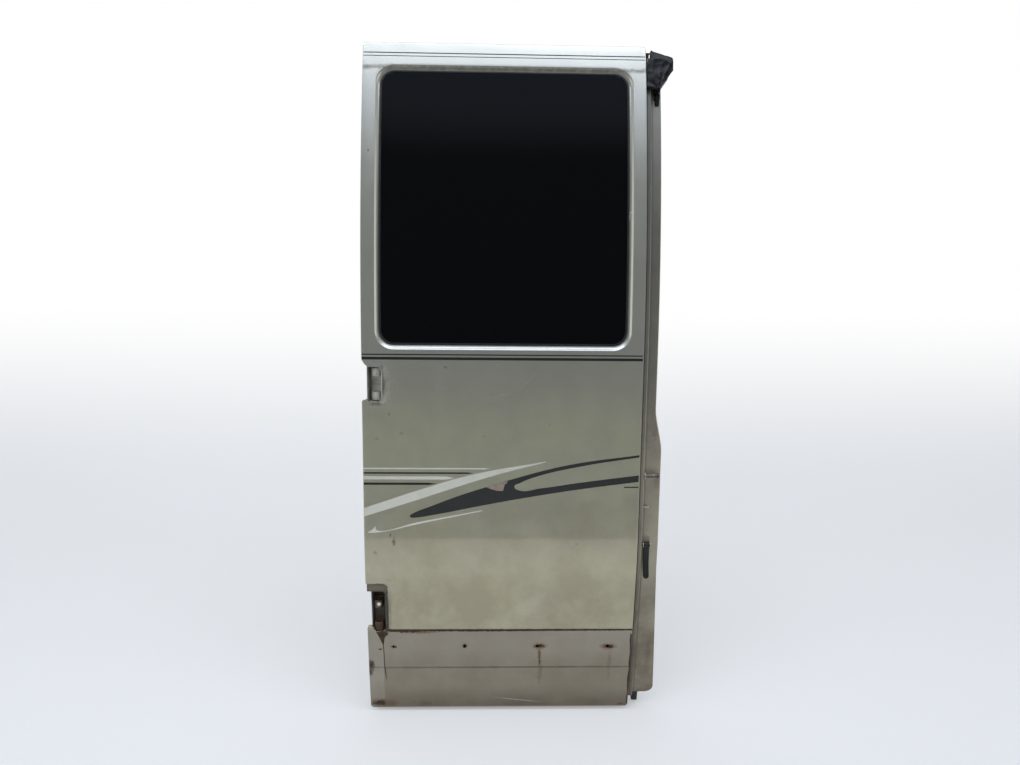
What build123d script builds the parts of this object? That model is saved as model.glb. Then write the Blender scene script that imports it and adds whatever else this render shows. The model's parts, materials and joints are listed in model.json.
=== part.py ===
from build123d import *
import math
import os

# Van side barn-door leaf: a pressed outer skin on a frame of folded channels.
# Millimetres. While it is drawn, x runs from the hinge edge to the meeting edge,
# y runs inwards from the skin's outer face and z runs up from the lower edge.

# Outer skin
LEAF_WIDTH = 606.0
LEAF_HEIGHT = 1500.0
SKIN_THICKNESS = 1.2
SKIN_CORNER_RADIUS = 8.0
HEM_WIDTH = 9.0

# Side profile of the skin, from the bottom up
TUCK_TOP = 112.0
TUCK_ANGLE = 9.5
LOWER_BEND_BOTTOM = 330.0
LOWER_BEND_TOP = 440.0
LOWER_SLOPE_ANGLE = 8.0
BELT_HEIGHT = 840.0
TUMBLEHOME_RADIUS = 2400.0
PROFILE_MARGIN = 40.0

# Window: bevelled rim, flange, seal and pane
WINDOW_HINGE_MARGIN = 39.0
WINDOW_LOCK_MARGIN = 38.0
WINDOW_TOP_MARGIN = 60.0
WINDOW_ABOVE_BELT = 22.0
WINDOW_CORNER_RADIUS = 30.0
RIM_BEVEL = 10.0
RIM_LAND = 0.072
GLASS_FLANGE = 12.0
GLASS_THICKNESS = 4.0
GLASS_CLEARANCE = 0.2
SEAL_LIP = 3.0
SEAL_BED = 2.0
SEAL_PROUD = 0.8

# Folded inner frame
FRAME_THICKNESS = 1.5
LEAF_DEPTH = 60.0
WAIST_DEPTH = 62.0
SILL_DEPTH = 46.0

# Meeting edge: two ledges stepped back from the skin
LEDGE_DEPTH = 12.0
LEDGE_REACH = 12.5
FLANGE_DEPTH = 30.0
FLANGE_REACH_UPPER = 37.0
FLANGE_REACH_LOWER = 52.0
FLANGE_REACH_FOOT = 65.0
FLANGE_STEP_DROP = 128.0
FLANGE_STEP_HEIGHT = 80.0
FLANGE_JOINT_RISE = 8.0
FLANGE_FLARE_RISE = 20.0
FLANGE_FOOT = 22.0
FLANGE_FOOT_RADIUS = 16.0
FLANGE_TOP_GAP = 12.0

# Hinges: one vertical pin line through two clevis brackets in pans
PIN_LINE_X = 26.0
PIN_LINE_Y = 34.0
PIN_RADIUS = 5.0
BUSH_RADIUS = 6.5
LUG_RADIUS = 9.5
LUG_HEIGHT = 18.0
LUG_SPACING = 52.0
HINGE_PLATE_THICKNESS = 5.0
HINGE_PLATE_WIDTH = 32.0
HINGE_PLATE_MARGIN = 3.0
LUG_FOOT_GAP = 3.0
PAN_BACK = 52.0
POCKET_RIGHT = 46.0
POCKET_CORNER_RADIUS = 9.0
POCKET_BEVEL = 5.0
POCKET_FLANGE_LEFT = 1.5
CAVITY_RIGHT = 41.0
CAVITY_CORNER_RADIUS = 6.0
SHUT_WALL_NOTCH = 12.0
UPPER_POCKET_DROP = 12.0
UPPER_POCKET_HEIGHT = 100.0
UPPER_CAVITY_DROP = 12.0
UPPER_CAVITY_HEIGHT = 81.0
LOWER_POCKET_FOOT = 205.0
LOWER_POCKET_HEIGHT = 118.0
LOWER_CAVITY_HEIGHT = 98.0
ORIGIN_BEHIND_PIN = 8.0

# Lower repair panel laid on the skin
PATCH_LEFT = 34.0
PATCH_TOP = 207.0
PATCH_RIGHT_GAP = 2.0
PATCH_FOOT = 3.0
PATCH_THICKNESS = 1.0
TRIM_HOLE_DROP = 42.0
TRIM_HOLE_RADIUS = 4.0
TRIM_HOLE_INSET = 58.0
TRIM_HOLE_PAIR = 163.0

# Striker that the other leaf locks on to
STRIKER_HEIGHT = 571.0
STRIKER_DEPTH = 20.0
STRIKER_RADIUS = 4.0
STRIKER_LENGTH = 33.0
STRIKER_HEAD_RADIUS = 6.5
STRIKER_HEAD_LENGTH = 3.0
STRIKER_PLATE_RADIUS = 8.0
STRIKER_PLATE_THICKNESS = 3.0

# Release lever and its bracket
LEVER_PIVOT_HEIGHT = 411.0
LEVER_LENGTH = 76.0
LEVER_WIDTH = 13.0
LEVER_THICKNESS = 5.0
LEVER_BOSS_RADIUS = 6.0
LEVER_KICK = 7.0
LEVER_FROM_STEP = 11.0
LEVER_PIVOT_DEPTH = 20.0
LEVER_PIN_RADIUS = 2.5
LEVER_PIN_CLEARANCE = 0.05
LEVER_SIDE_CLEARANCE = 0.4
BRACKET_EAR_THICKNESS = 2.0
BRACKET_EAR_RADIUS = 6.5
BRACKET_BASE_HEIGHT = 30.0

# Lower latch: a guide behind the outer ledge and its bolt
BOLT_WIDTH = 14.0
BOLT_DEPTH = 12.0
BOLT_LENGTH = 58.0
BOLT_DROP = 5.0
BOLT_CLEARANCE = 0.4
GUIDE_WALL = 2.0
GUIDE_FOOT = 27.0
GUIDE_HEIGHT = 60.0

# Small pieces
BUFFER_HEIGHT = 497.0
BUFFER_WIDTH = 15.0
BUFFER_DEPTH = 7.0
BUFFER_THICKNESS = 4.0
BUFFER_ROUNDING = 1.5
WRAP_TOP_DROP = 6.0
WRAP_HEIGHT = 86.0
WRAP_REACH = 47.5
WRAP_FRONT = 3.0
WRAP_EDGE_GAP = 1.0
WRAP_WAIST = 42.0
WRAP_SHOULDER = 15.0
WRAP_TAIL_LENGTH = 31.0
WRAP_TAIL_WIDTH = 11.0
WRAP_TAIL_THICKNESS = 2.0
WRAP_ROUNDING = 6.0
SEAT_GAP = 0.2

# Inside of the leaf
TRIM_BOARD_THICKNESS = 3.0
TRIM_BOARD_MARGIN = 22.0
TRIM_BOARD_RADIUS = 18.0
WEATHERSTRIP_WIDTH = 9.0
WEATHERSTRIP_HEIGHT = 11.0
WEATHERSTRIP_INSET = 6.0
WEATHERSTRIP_RADIUS = 26.0
SWAGE_WIDTH = 26.0
SWAGE_DEPTH = 6.0

REACH = 400.0
WINDOW_LEFT = WINDOW_HINGE_MARGIN
WINDOW_RIGHT = LEAF_WIDTH - WINDOW_LOCK_MARGIN
WINDOW_BOTTOM = BELT_HEIGHT + WINDOW_ABOVE_BELT
WINDOW_TOP = LEAF_HEIGHT - WINDOW_TOP_MARGIN
LEDGE_EDGE = LEAF_WIDTH + LEDGE_REACH
FLANGE_EDGE_UPPER = LEAF_WIDTH + FLANGE_REACH_UPPER
FLANGE_EDGE_LOWER = LEAF_WIDTH + FLANGE_REACH_LOWER
FLANGE_EDGE_FOOT = LEAF_WIDTH + FLANGE_REACH_FOOT
FLANGE_STEP_TOP = BELT_HEIGHT - FLANGE_STEP_DROP
FLANGE_STEP_BOTTOM = FLANGE_STEP_TOP - FLANGE_STEP_HEIGHT
FLANGE_JOINT = FLANGE_STEP_TOP + FLANGE_JOINT_RISE
FLANGE_FLARE_TOP = LOWER_BEND_BOTTOM + FLANGE_FLARE_RISE
TRIM_HOLE_HEIGHT = PATCH_TOP - TRIM_HOLE_DROP
LEVER_CENTRE_X = LEDGE_EDGE + LEVER_FROM_STEP
SHUT_WALL_LEFT = HEM_WIDTH + 0.5
SHUT_WALL_RIGHT = LEAF_WIDTH - HEM_WIDTH - 0.5
SHUT_WALL_TOP = LEAF_HEIGHT - HEM_WIDTH - 0.5
SHUT_WALL_BOTTOM = HEM_WIDTH + 0.5
APERTURE_LEFT = WINDOW_LEFT + GLASS_FLANGE
APERTURE_RIGHT = WINDOW_RIGHT - GLASS_FLANGE
APERTURE_BOTTOM = WINDOW_BOTTOM + GLASS_FLANGE
APERTURE_TOP = WINDOW_TOP - GLASS_FLANGE
APERTURE_RADIUS = WINDOW_CORNER_RADIUS - GLASS_FLANGE / 2
UPRIGHT_FOOT = SHUT_WALL_BOTTOM + FRAME_THICKNESS
UPRIGHT_TOP = SHUT_WALL_TOP - FRAME_THICKNESS
WAIST_BOTTOM = APERTURE_BOTTOM - WAIST_DEPTH
SILL_TOP = SHUT_WALL_BOTTOM + SILL_DEPTH
SKIN_BACK = SKIN_THICKNESS
WINDOW_TOP_TILT = math.asin((WINDOW_TOP - BELT_HEIGHT) / TUMBLEHOME_RADIUS)
RIM_DEPTH = RIM_BEVEL / math.cos(WINDOW_TOP_TILT) + RIM_LAND
RIM_BACK = RIM_DEPTH + SKIN_THICKNESS
POCKET_FLOOR = POCKET_BEVEL + SKIN_THICKNESS + SEAT_GAP
WEB_FRONT = LEAF_DEPTH - FRAME_THICKNESS


class Pocket:
    """Opening in the skin round one hinge, with the deeper cavity behind it."""

    def __init__(self, low, high, cavity_low, cavity_high):
        self.low = low
        self.high = high
        self.cavity_low = cavity_low
        self.cavity_high = cavity_high
        self.low_lug = cavity_low + LUG_FOOT_GAP + LUG_HEIGHT / 2
        self.top_lug = self.low_lug + LUG_SPACING


def upper_pocket():
    """Pocket of the upper hinge, just under the belt."""
    high = BELT_HEIGHT - UPPER_POCKET_DROP
    cavity_high = high - UPPER_CAVITY_DROP
    return Pocket(high - UPPER_POCKET_HEIGHT, high, cavity_high - UPPER_CAVITY_HEIGHT, cavity_high)


def lower_pocket():
    """Pocket of the lower hinge, on the top edge of the repair panel."""
    low = LOWER_POCKET_FOOT
    return Pocket(low, low + LOWER_POCKET_HEIGHT, low, low + LOWER_CAVITY_HEIGHT)


UPPER_POCKET = upper_pocket()
LOWER_POCKET = lower_pocket()


def skin_y(z):
    """Depth of the skin's outer face at height z."""
    slope = math.radians(LOWER_SLOPE_ANGLE)
    bend_radius = (LOWER_BEND_TOP - LOWER_BEND_BOTTOM) / math.sin(slope)
    bend_foot = bend_radius * (1 - math.cos(slope))
    if z > BELT_HEIGHT:
        rise = z - BELT_HEIGHT
        return TUMBLEHOME_RADIUS - math.sqrt(TUMBLEHOME_RADIUS ** 2 - rise ** 2)
    if z > LOWER_BEND_TOP:
        return 0.0
    if z > LOWER_BEND_BOTTOM:
        drop = LOWER_BEND_TOP - z
        return bend_radius - math.sqrt(bend_radius ** 2 - drop ** 2)
    if z > TUCK_TOP:
        return bend_foot + (LOWER_BEND_BOTTOM - z) * math.tan(slope)
    tuck_y = bend_foot + (LOWER_BEND_BOTTOM - TUCK_TOP) * math.tan(slope)
    return tuck_y + (TUCK_TOP - z) * math.tan(math.radians(TUCK_ANGLE))


def profile_edges(depth):
    """Side profile of the leaf as lines and arcs, moved inwards by depth."""
    def at(z):
        return (0, skin_y(z) + depth, z)

    foot = -PROFILE_MARGIN
    top = LEAF_HEIGHT + PROFILE_MARGIN
    bend_middle = (LOWER_BEND_BOTTOM + LOWER_BEND_TOP) / 2
    return [
        Edge.make_line(at(foot), at(TUCK_TOP)),
        Edge.make_line(at(TUCK_TOP), at(LOWER_BEND_BOTTOM)),
        Edge.make_three_point_arc(at(LOWER_BEND_BOTTOM), at(bend_middle), at(LOWER_BEND_TOP)),
        Edge.make_line(at(LOWER_BEND_TOP), at(BELT_HEIGHT)),
        Edge.make_three_point_arc(at(BELT_HEIGHT), at((BELT_HEIGHT + top) / 2), at(top)),
    ]


def layer(front, back, x_low, x_high):
    """Curved slab between two depths behind the skin's outer face."""
    near = profile_edges(front)
    far = profile_edges(back)
    foot = Edge.make_line(near[0] @ 0, far[0] @ 0)
    top = Edge.make_line(near[-1] @ 1, far[-1] @ 1)
    face = Face(Wire(near + [top] + far + [foot]))
    slab = extrude(face, amount=x_high - x_low, dir=(1, 0, 0))
    return Pos(x_low, 0, 0) * slab


def prism(x_low, x_high, z_low, z_high, radius=0.0):
    """Upright opening or outline, run right through the leaf."""
    width = x_high - x_low
    height = z_high - z_low
    centre = Pos((x_low + x_high) / 2, 0, (z_low + z_high) / 2)
    if radius == 0.0:
        return centre * Box(width, 2 * REACH, height)
    outline = Plane.XZ * RectangleRounded(width, height, radius)
    return centre * extrude(outline, amount=REACH, both=True)


def sheet(front, back, x_low, x_high, z_low, z_high, radius=0.0):
    """Piece of the leaf between two depths, inside a rectangle seen from outside."""
    if radius == 0.0:
        return layer(front, back, x_low, x_high) & prism(x_low - 1, x_high + 1, z_low, z_high)
    return layer(front, back, x_low - 1, x_high + 1) & prism(x_low, x_high, z_low, z_high, radius)


def window_outline(front, back, inset):
    """Slab in the shape of the window opening, made smaller by inset."""
    return sheet(front, back, WINDOW_LEFT + inset, WINDOW_RIGHT - inset,
                 WINDOW_BOTTOM + inset, WINDOW_TOP - inset, WINDOW_CORNER_RADIUS - inset / 2)


def pocket_prism(pocket, margin=0.0):
    """Opening in the skin's hinge edge that shows a hinge, made larger by margin."""
    reach = POCKET_RIGHT + margin
    return prism(-reach, reach, pocket.low - margin, pocket.high + margin, POCKET_CORNER_RADIUS + margin)


def cavity_prism(pocket, margin=0.0):
    """Outline of the deep part of a hinge pocket, made larger by margin."""
    reach = CAVITY_RIGHT + margin
    return prism(-reach, reach, pocket.cavity_low - margin, pocket.cavity_high + margin,
                 CAVITY_CORNER_RADIUS + margin)


def on_skin_face(edge):
    """True where an edge's middle lies on the skin's outer face."""
    middle = edge @ 0.5
    return abs(middle.Y - skin_y(middle.Z)) < 0.2


def outer_skin():
    """Outer pressing with its window recess, hinge openings and hemmed edges."""
    block = sheet(0, 2 * RIM_DEPTH, 0, LEAF_WIDTH, 0, LEAF_HEIGHT, SKIN_CORNER_RADIUS)
    block -= window_outline(-1, RIM_DEPTH, 0)
    mouth = [edge for edge in block.edges() if on_skin_face(edge)
             and WINDOW_LEFT - 1 < edge.center().X < WINDOW_RIGHT + 1
             and WINDOW_BOTTOM - 1 < edge.center().Z < WINDOW_TOP + 1]
    block = chamfer(mouth, RIM_BEVEL)
    for pocket in (UPPER_POCKET, LOWER_POCKET):
        block -= pocket_prism(pocket)
        lip = [edge for edge in block.edges() if on_skin_face(edge)
               and 0 < edge.center().X < POCKET_RIGHT + 1
               and pocket.low - 1 < edge.center().Z < pocket.high + 1]
        block = chamfer(lip, POCKET_BEVEL)
    skin = block - Pos(0, SKIN_THICKNESS, 0) * block
    hem = sheet(SKIN_BACK, 2 * SKIN_THICKNESS, 0, LEAF_WIDTH, 0, LEAF_HEIGHT, SKIN_CORNER_RADIUS)
    hem -= prism(HEM_WIDTH, LEAF_WIDTH - HEM_WIDTH, HEM_WIDTH, LEAF_HEIGHT - HEM_WIDTH)
    for pocket in (UPPER_POCKET, LOWER_POCKET):
        hem -= prism(-1, POCKET_RIGHT, pocket.low - POCKET_BEVEL, pocket.high + POCKET_BEVEL)
    skin += hem
    skin -= prism(APERTURE_LEFT, APERTURE_RIGHT, APERTURE_BOTTOM, APERTURE_TOP, APERTURE_RADIUS)
    return skin - trim_holes()


def trim_holes():
    """Four holes in a row along the lower panel, drilled straight in."""
    holes = []
    for x in trim_hole_places():
        drill = Cylinder(TRIM_HOLE_RADIUS, 2 * LEAF_DEPTH, rotation=(90, 0, 0))
        holes.append(Pos(x, skin_y(TRIM_HOLE_HEIGHT), TRIM_HOLE_HEIGHT) * drill)
    return holes


def trim_hole_places():
    """Holes in two pairs, the same distance in from each edge."""
    left = TRIM_HOLE_INSET
    right = LEAF_WIDTH - TRIM_HOLE_INSET + PATCH_RIGHT_GAP
    return [left, left + TRIM_HOLE_PAIR, right - TRIM_HOLE_PAIR, right]


def lower_repair_panel():
    """Thin sheet laid over the skin below the hinge, with the trim holes through it."""
    panel = sheet(-PATCH_THICKNESS, 0, PATCH_LEFT, LEAF_WIDTH - PATCH_RIGHT_GAP, PATCH_FOOT, PATCH_TOP)
    clear = POCKET_BEVEL + SEAT_GAP
    panel -= prism(-1, POCKET_RIGHT + clear, LOWER_POCKET.low - clear, LEAF_HEIGHT)
    return panel - trim_holes()


def window_seal():
    """Rubber channel: a bed on the skin's flange and a lip round the pane's edge."""
    back = RIM_DEPTH
    front = RIM_DEPTH - SEAL_BED - GLASS_THICKNESS - SEAL_PROUD
    ring = window_outline(front, back, GLASS_CLEARANCE)
    ring -= window_outline(front - 1, back - SEAL_BED, SEAL_LIP)
    return ring - prism(APERTURE_LEFT, APERTURE_RIGHT, APERTURE_BOTTOM, APERTURE_TOP, APERTURE_RADIUS)


def window_glass():
    """Tinted pane, bent to the tumblehome."""
    back = RIM_DEPTH - SEAL_BED
    return window_outline(back - GLASS_THICKNESS, back, SEAL_LIP + GLASS_CLEARANCE)


def hinge_channel():
    """Folded channel up the hinge edge, open where the hinge pans sit."""
    wall = FRAME_THICKNESS
    left = SHUT_WALL_LEFT
    channel = sheet(SKIN_BACK, LEAF_DEPTH, left, left + wall, UPRIGHT_FOOT, UPRIGHT_TOP)
    channel += sheet(WEB_FRONT, LEAF_DEPTH, left, APERTURE_LEFT, UPRIGHT_FOOT, UPRIGHT_TOP)
    channel += sheet(RIM_BACK, LEAF_DEPTH, APERTURE_LEFT - wall, APERTURE_LEFT, WAIST_BOTTOM, UPRIGHT_TOP)
    for pocket in (UPPER_POCKET, LOWER_POCKET):
        lip = POCKET_BEVEL + SEAT_GAP
        floor = POCKET_FLOOR + wall + SEAT_GAP
        channel -= sheet(0, floor, left - 1, left + wall + 1, pocket.low - lip, pocket.high + lip)
        channel -= sheet(0, SHUT_WALL_NOTCH, left - 1, left + wall + 1, pocket.cavity_low, pocket.cavity_high)
    return channel


def lock_channel():
    """Folded channel up the meeting edge, behind the stepped ledges."""
    wall = FRAME_THICKNESS
    channel = sheet(WEB_FRONT, LEAF_DEPTH, APERTURE_RIGHT, LEDGE_EDGE, UPRIGHT_FOOT, UPRIGHT_TOP)
    channel += sheet(RIM_BACK, LEAF_DEPTH, APERTURE_RIGHT, APERTURE_RIGHT + wall, WAIST_BOTTOM, UPRIGHT_TOP)
    channel += sheet(FLANGE_DEPTH + wall, LEAF_DEPTH, LEDGE_EDGE - wall, LEDGE_EDGE, FLANGE_FOOT, UPRIGHT_TOP)
    return channel


def header_channel():
    """Folded channel over the window; its top wall closes both upright channels."""
    wall = FRAME_THICKNESS
    left = APERTURE_LEFT
    right = APERTURE_RIGHT
    channel = sheet(WEB_FRONT, LEAF_DEPTH, left, right, APERTURE_TOP, SHUT_WALL_TOP)
    channel += sheet(RIM_BACK, LEAF_DEPTH, left, right, APERTURE_TOP, APERTURE_TOP + wall)
    channel += sheet(SKIN_BACK, LEAF_DEPTH, SHUT_WALL_LEFT, SHUT_WALL_RIGHT, UPRIGHT_TOP, SHUT_WALL_TOP)
    channel += sheet(LEDGE_DEPTH, LEAF_DEPTH, SHUT_WALL_RIGHT, LEDGE_EDGE, UPRIGHT_TOP, SHUT_WALL_TOP)
    return channel


def waist_channel():
    """Folded channel under the window."""
    wall = FRAME_THICKNESS
    left = APERTURE_LEFT
    right = APERTURE_RIGHT
    channel = sheet(WEB_FRONT, LEAF_DEPTH, left, right, WAIST_BOTTOM, APERTURE_BOTTOM)
    channel += sheet(RIM_BACK, LEAF_DEPTH, left, right, APERTURE_BOTTOM - wall, APERTURE_BOTTOM)
    return channel


def sill_channel():
    """Folded channel along the bottom; its lower wall closes both upright channels."""
    left = APERTURE_LEFT
    right = APERTURE_RIGHT
    channel = sheet(WEB_FRONT, LEAF_DEPTH, left, right, SHUT_WALL_BOTTOM, SILL_TOP)
    channel += sheet(SKIN_BACK, LEAF_DEPTH, SHUT_WALL_LEFT, SHUT_WALL_RIGHT, SHUT_WALL_BOTTOM, UPRIGHT_FOOT)
    return channel


def lower_inner_panel():
    """Inner pressing below the waist, with two pressed stiffening swages."""
    panel = sheet(WEB_FRONT, LEAF_DEPTH, APERTURE_LEFT, APERTURE_RIGHT, SILL_TOP, WAIST_BOTTOM)
    middle = (SILL_TOP + WAIST_BOTTOM) / 2
    left = APERTURE_LEFT + 2 * TRIM_BOARD_MARGIN
    right = APERTURE_RIGHT - 2 * TRIM_BOARD_MARGIN
    for offset in (-SWAGE_WIDTH * 4, SWAGE_WIDTH * 4):
        low = middle + offset - SWAGE_WIDTH / 2
        high = low + SWAGE_WIDTH
        round_end = SWAGE_WIDTH / 2 - 0.5
        panel -= sheet(WEB_FRONT - 1, LEAF_DEPTH + 1, left, right, low, high, round_end)
        wall = FRAME_THICKNESS
        rib = sheet(WEB_FRONT - SWAGE_DEPTH, LEAF_DEPTH, left, right, low, high, round_end)
        rib -= sheet(WEB_FRONT - SWAGE_DEPTH + wall, LEAF_DEPTH + 1, left + wall, right - wall,
                     low + wall, high - wall, round_end - wall)
        panel += rib
    return panel


def trim_board():
    """Lining board over the inner pressing."""
    margin = TRIM_BOARD_MARGIN
    return sheet(LEAF_DEPTH, LEAF_DEPTH + TRIM_BOARD_THICKNESS, APERTURE_LEFT - margin / 2,
                 APERTURE_RIGHT + margin / 2, SILL_TOP - margin, WAIST_BOTTOM + margin, TRIM_BOARD_RADIUS)


def weatherstrip():
    """Rubber bulb seal in one loop round the inside of the leaf."""
    inset = WEATHERSTRIP_INSET
    low_x = SHUT_WALL_LEFT + inset
    high_x = SHUT_WALL_RIGHT - inset
    low_z = SHUT_WALL_BOTTOM + inset
    high_z = SHUT_WALL_TOP - inset
    wide = WEATHERSTRIP_WIDTH
    radius = WEATHERSTRIP_RADIUS
    ring = sheet(LEAF_DEPTH, LEAF_DEPTH + WEATHERSTRIP_HEIGHT, low_x, high_x, low_z, high_z, radius)
    return ring - prism(low_x + wide, high_x - wide, low_z + wide, high_z - wide, radius - wide)


def flange_outline():
    """Outline of the outer ledge, seen from outside: narrow above the step, flared at the foot."""
    left = LEDGE_EDGE - FRAME_THICKNESS
    top = SHUT_WALL_TOP - FLANGE_TOP_GAP
    points = [
        (left, FLANGE_FOOT), (FLANGE_EDGE_FOOT, FLANGE_FOOT), (FLANGE_EDGE_LOWER, FLANGE_FLARE_TOP),
        (FLANGE_EDGE_LOWER, FLANGE_STEP_BOTTOM), (FLANGE_EDGE_UPPER, FLANGE_STEP_TOP),
        (FLANGE_EDGE_UPPER, top), (left, top),
    ]
    outline = make_face(Polyline(*points, close=True))
    foot_corner = outline.vertices().sort_by(Axis.X)[-1]
    return fillet(foot_corner, FLANGE_FOOT_RADIUS)


def meeting_flanges():
    """Meeting edge: shut wall, first ledge, step and outer ledge, as an upper and a lower pressing."""
    wall = FRAME_THICKNESS
    edge = LEDGE_EDGE
    foot = FLANGE_FOOT
    top = UPRIGHT_TOP
    inner = SHUT_WALL_RIGHT - wall
    flange = sheet(SKIN_BACK, LEDGE_DEPTH + wall, inner, SHUT_WALL_RIGHT, UPRIGHT_FOOT, top)
    flange += sheet(LEDGE_DEPTH, LEDGE_DEPTH + wall, inner, edge, foot, top)
    flange += sheet(LEDGE_DEPTH, FLANGE_DEPTH + wall, edge - wall, edge, foot, top)
    outline = extrude(Plane.XZ * flange_outline(), amount=REACH, both=True)
    flange += layer(FLANGE_DEPTH, FLANGE_DEPTH + wall, edge - wall, FLANGE_EDGE_FOOT + 1) & outline
    below = prism(inner - 1, FLANGE_EDGE_FOOT + 1, -1, FLANGE_JOINT)
    return flange - below, flange & below


def hinge_pan(pocket):
    """Pressed pan behind an opening in the skin: a shallow floor round a deep cavity for the hinge."""
    wall = FRAME_THICKNESS
    left = SHUT_WALL_LEFT + wall
    floor = layer(POCKET_FLOOR, POCKET_FLOOR + wall, POCKET_FLANGE_LEFT, POCKET_RIGHT + 2 * wall)
    floor &= pocket_prism(pocket, wall)
    box = layer(POCKET_FLOOR, 2 * PAN_BACK, left, CAVITY_RIGHT + 2 * wall) & cavity_prism(pocket, wall)
    hollow = cavity_prism(pocket) & front_of(PAN_BACK)
    return (floor + box & front_of(PAN_BACK + wall)) - hollow


def front_of(depth):
    """Everything outside one upright plane, behind which the leaf's inside lies."""
    side = 4 * LEAF_HEIGHT
    return Pos(0, depth, 0) * Box(side, REACH, side, align=(Align.CENTER, Align.MAX, Align.CENTER))


def hinge_bracket(pocket):
    """Door half of a hinge: a plate on the pan with two bored lugs."""
    plate_height = LUG_SPACING + LUG_HEIGHT + 2 * HINGE_PLATE_MARGIN
    plate = Pos(PIN_LINE_X, PAN_BACK, (pocket.top_lug + pocket.low_lug) / 2) * Box(
        HINGE_PLATE_WIDTH - LUG_RADIUS, HINGE_PLATE_THICKNESS, plate_height,
        align=(Align.CENTER, Align.MAX, Align.CENTER))
    bracket = plate
    for height in (pocket.top_lug, pocket.low_lug):
        eye = Circle(LUG_RADIUS)
        arm = Rectangle(2 * LUG_RADIUS, PAN_BACK - PIN_LINE_Y, align=(Align.CENTER, Align.MIN))
        lug = extrude(eye + arm - Circle(BUSH_RADIUS), amount=LUG_HEIGHT / 2, both=True)
        bracket += Pos(PIN_LINE_X, PIN_LINE_Y, height) * lug
    return bracket


def hinge_bushes(pocket):
    """Plain bushes pressed into the two lugs."""
    ring = extrude(Circle(BUSH_RADIUS) - Circle(PIN_RADIUS), amount=LUG_HEIGHT / 2, both=True)
    return [Pos(PIN_LINE_X, PIN_LINE_Y, height) * ring for height in (pocket.top_lug, pocket.low_lug)]


def striker_plate():
    """Round base of the striker on the step of the meeting edge."""
    y = skin_y(STRIKER_HEIGHT) + STRIKER_DEPTH
    disc = Cylinder(STRIKER_PLATE_RADIUS, STRIKER_PLATE_THICKNESS, rotation=(0, 90, 0),
                    align=(Align.CENTER, Align.CENTER, Align.MIN))
    return Pos(LEDGE_EDGE, y, STRIKER_HEIGHT) * disc


def striker_pin():
    """Headed pin that stands out of its base along the leaf."""
    y = skin_y(STRIKER_HEIGHT) + STRIKER_DEPTH
    start = LEDGE_EDGE + STRIKER_PLATE_THICKNESS
    align = (Align.CENTER, Align.CENTER, Align.MIN)
    shank_length = STRIKER_LENGTH - STRIKER_PLATE_THICKNESS
    shank = Cylinder(STRIKER_RADIUS, shank_length, rotation=(0, 90, 0), align=align)
    head = Cylinder(STRIKER_HEAD_RADIUS, STRIKER_HEAD_LENGTH, rotation=(0, 90, 0), align=align)
    pin = Pos(start, y, STRIKER_HEIGHT) * shank
    return pin + Pos(LEDGE_EDGE + STRIKER_LENGTH - STRIKER_HEAD_LENGTH, y, STRIKER_HEIGHT) * head


def lever_place():
    """Point on the lever's pivot, at the middle of its width."""
    return Pos(LEVER_CENTRE_X, skin_y(LEVER_PIVOT_HEIGHT) + LEVER_PIVOT_DEPTH, LEVER_PIVOT_HEIGHT)


def lever_bracket():
    """Folded bracket on the outer ledge with two ears for the lever's pin."""
    inner = LEVER_WIDTH / 2 + LEVER_SIDE_CLEARANCE
    outer = inner + BRACKET_EAR_THICKNESS
    back = FLANGE_DEPTH - LEVER_PIVOT_DEPTH
    base = Pos(0, back, 0) * Box(2 * outer, BRACKET_EAR_THICKNESS, BRACKET_BASE_HEIGHT,
                                 align=(Align.CENTER, Align.MAX, Align.CENTER))
    ear = Plane.YZ * (Circle(BRACKET_EAR_RADIUS) + Rectangle(
        back, 2 * BRACKET_EAR_RADIUS, align=(Align.MIN, Align.CENTER)) - Circle(LEVER_PIN_RADIUS))
    bracket = base
    for start in (inner, -outer):
        bracket += Pos(start, 0, 0) * extrude(ear, amount=BRACKET_EAR_THICKNESS, dir=(1, 0, 0))
    cut = layer(0, FLANGE_DEPTH, LEDGE_EDGE - 1, FLANGE_EDGE_FOOT)
    return (lever_place() * bracket) & cut


def lever_pin():
    """Pivot pin across the bracket's ears."""
    half = LEVER_WIDTH / 2 + LEVER_SIDE_CLEARANCE + BRACKET_EAR_THICKNESS
    return lever_place() * Cylinder(LEVER_PIN_RADIUS, 2 * half, rotation=(0, 90, 0))


def release_lever():
    """Hanging lever: a bored boss, a flat blade and a foot kicked out for the finger."""
    half = LEVER_THICKNESS / 2
    knee = -LEVER_LENGTH * 0.55
    foot = -LEVER_LENGTH
    blade = Polyline((-half, 0), (-half, knee), (-half - LEVER_KICK, foot), (half - LEVER_KICK, foot),
                     (half, knee), (half, 0), close=True)
    side = make_face(blade) + Circle(LEVER_BOSS_RADIUS) - Circle(LEVER_PIN_RADIUS + LEVER_PIN_CLEARANCE)
    lever = extrude(Plane.YZ * side, amount=LEVER_WIDTH / 2, both=True)
    low_corners = lever.edges().filter_by(Axis.Y, tolerance=20).group_by(Axis.Z)[0]
    return lever_place() * fillet(low_corners, LEVER_WIDTH * 0.45) if low_corners else lever_place() * lever


def bolt_frame():
    """Place and tilt of the lower latch bolt: along the tucked skin, behind the outer ledge."""
    x = LEDGE_EDGE + SEAT_GAP + GUIDE_WALL + BOLT_CLEARANCE + BOLT_WIDTH / 2
    behind_ledge = SEAT_GAP + GUIDE_WALL + BOLT_CLEARANCE + BOLT_DEPTH / 2
    depth = FLANGE_DEPTH + FRAME_THICKNESS + behind_ledge / math.cos(math.radians(TUCK_ANGLE))
    return Pos(x, skin_y(-BOLT_DROP) + depth, -BOLT_DROP) * Rot(TUCK_ANGLE, 0, 0)


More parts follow.
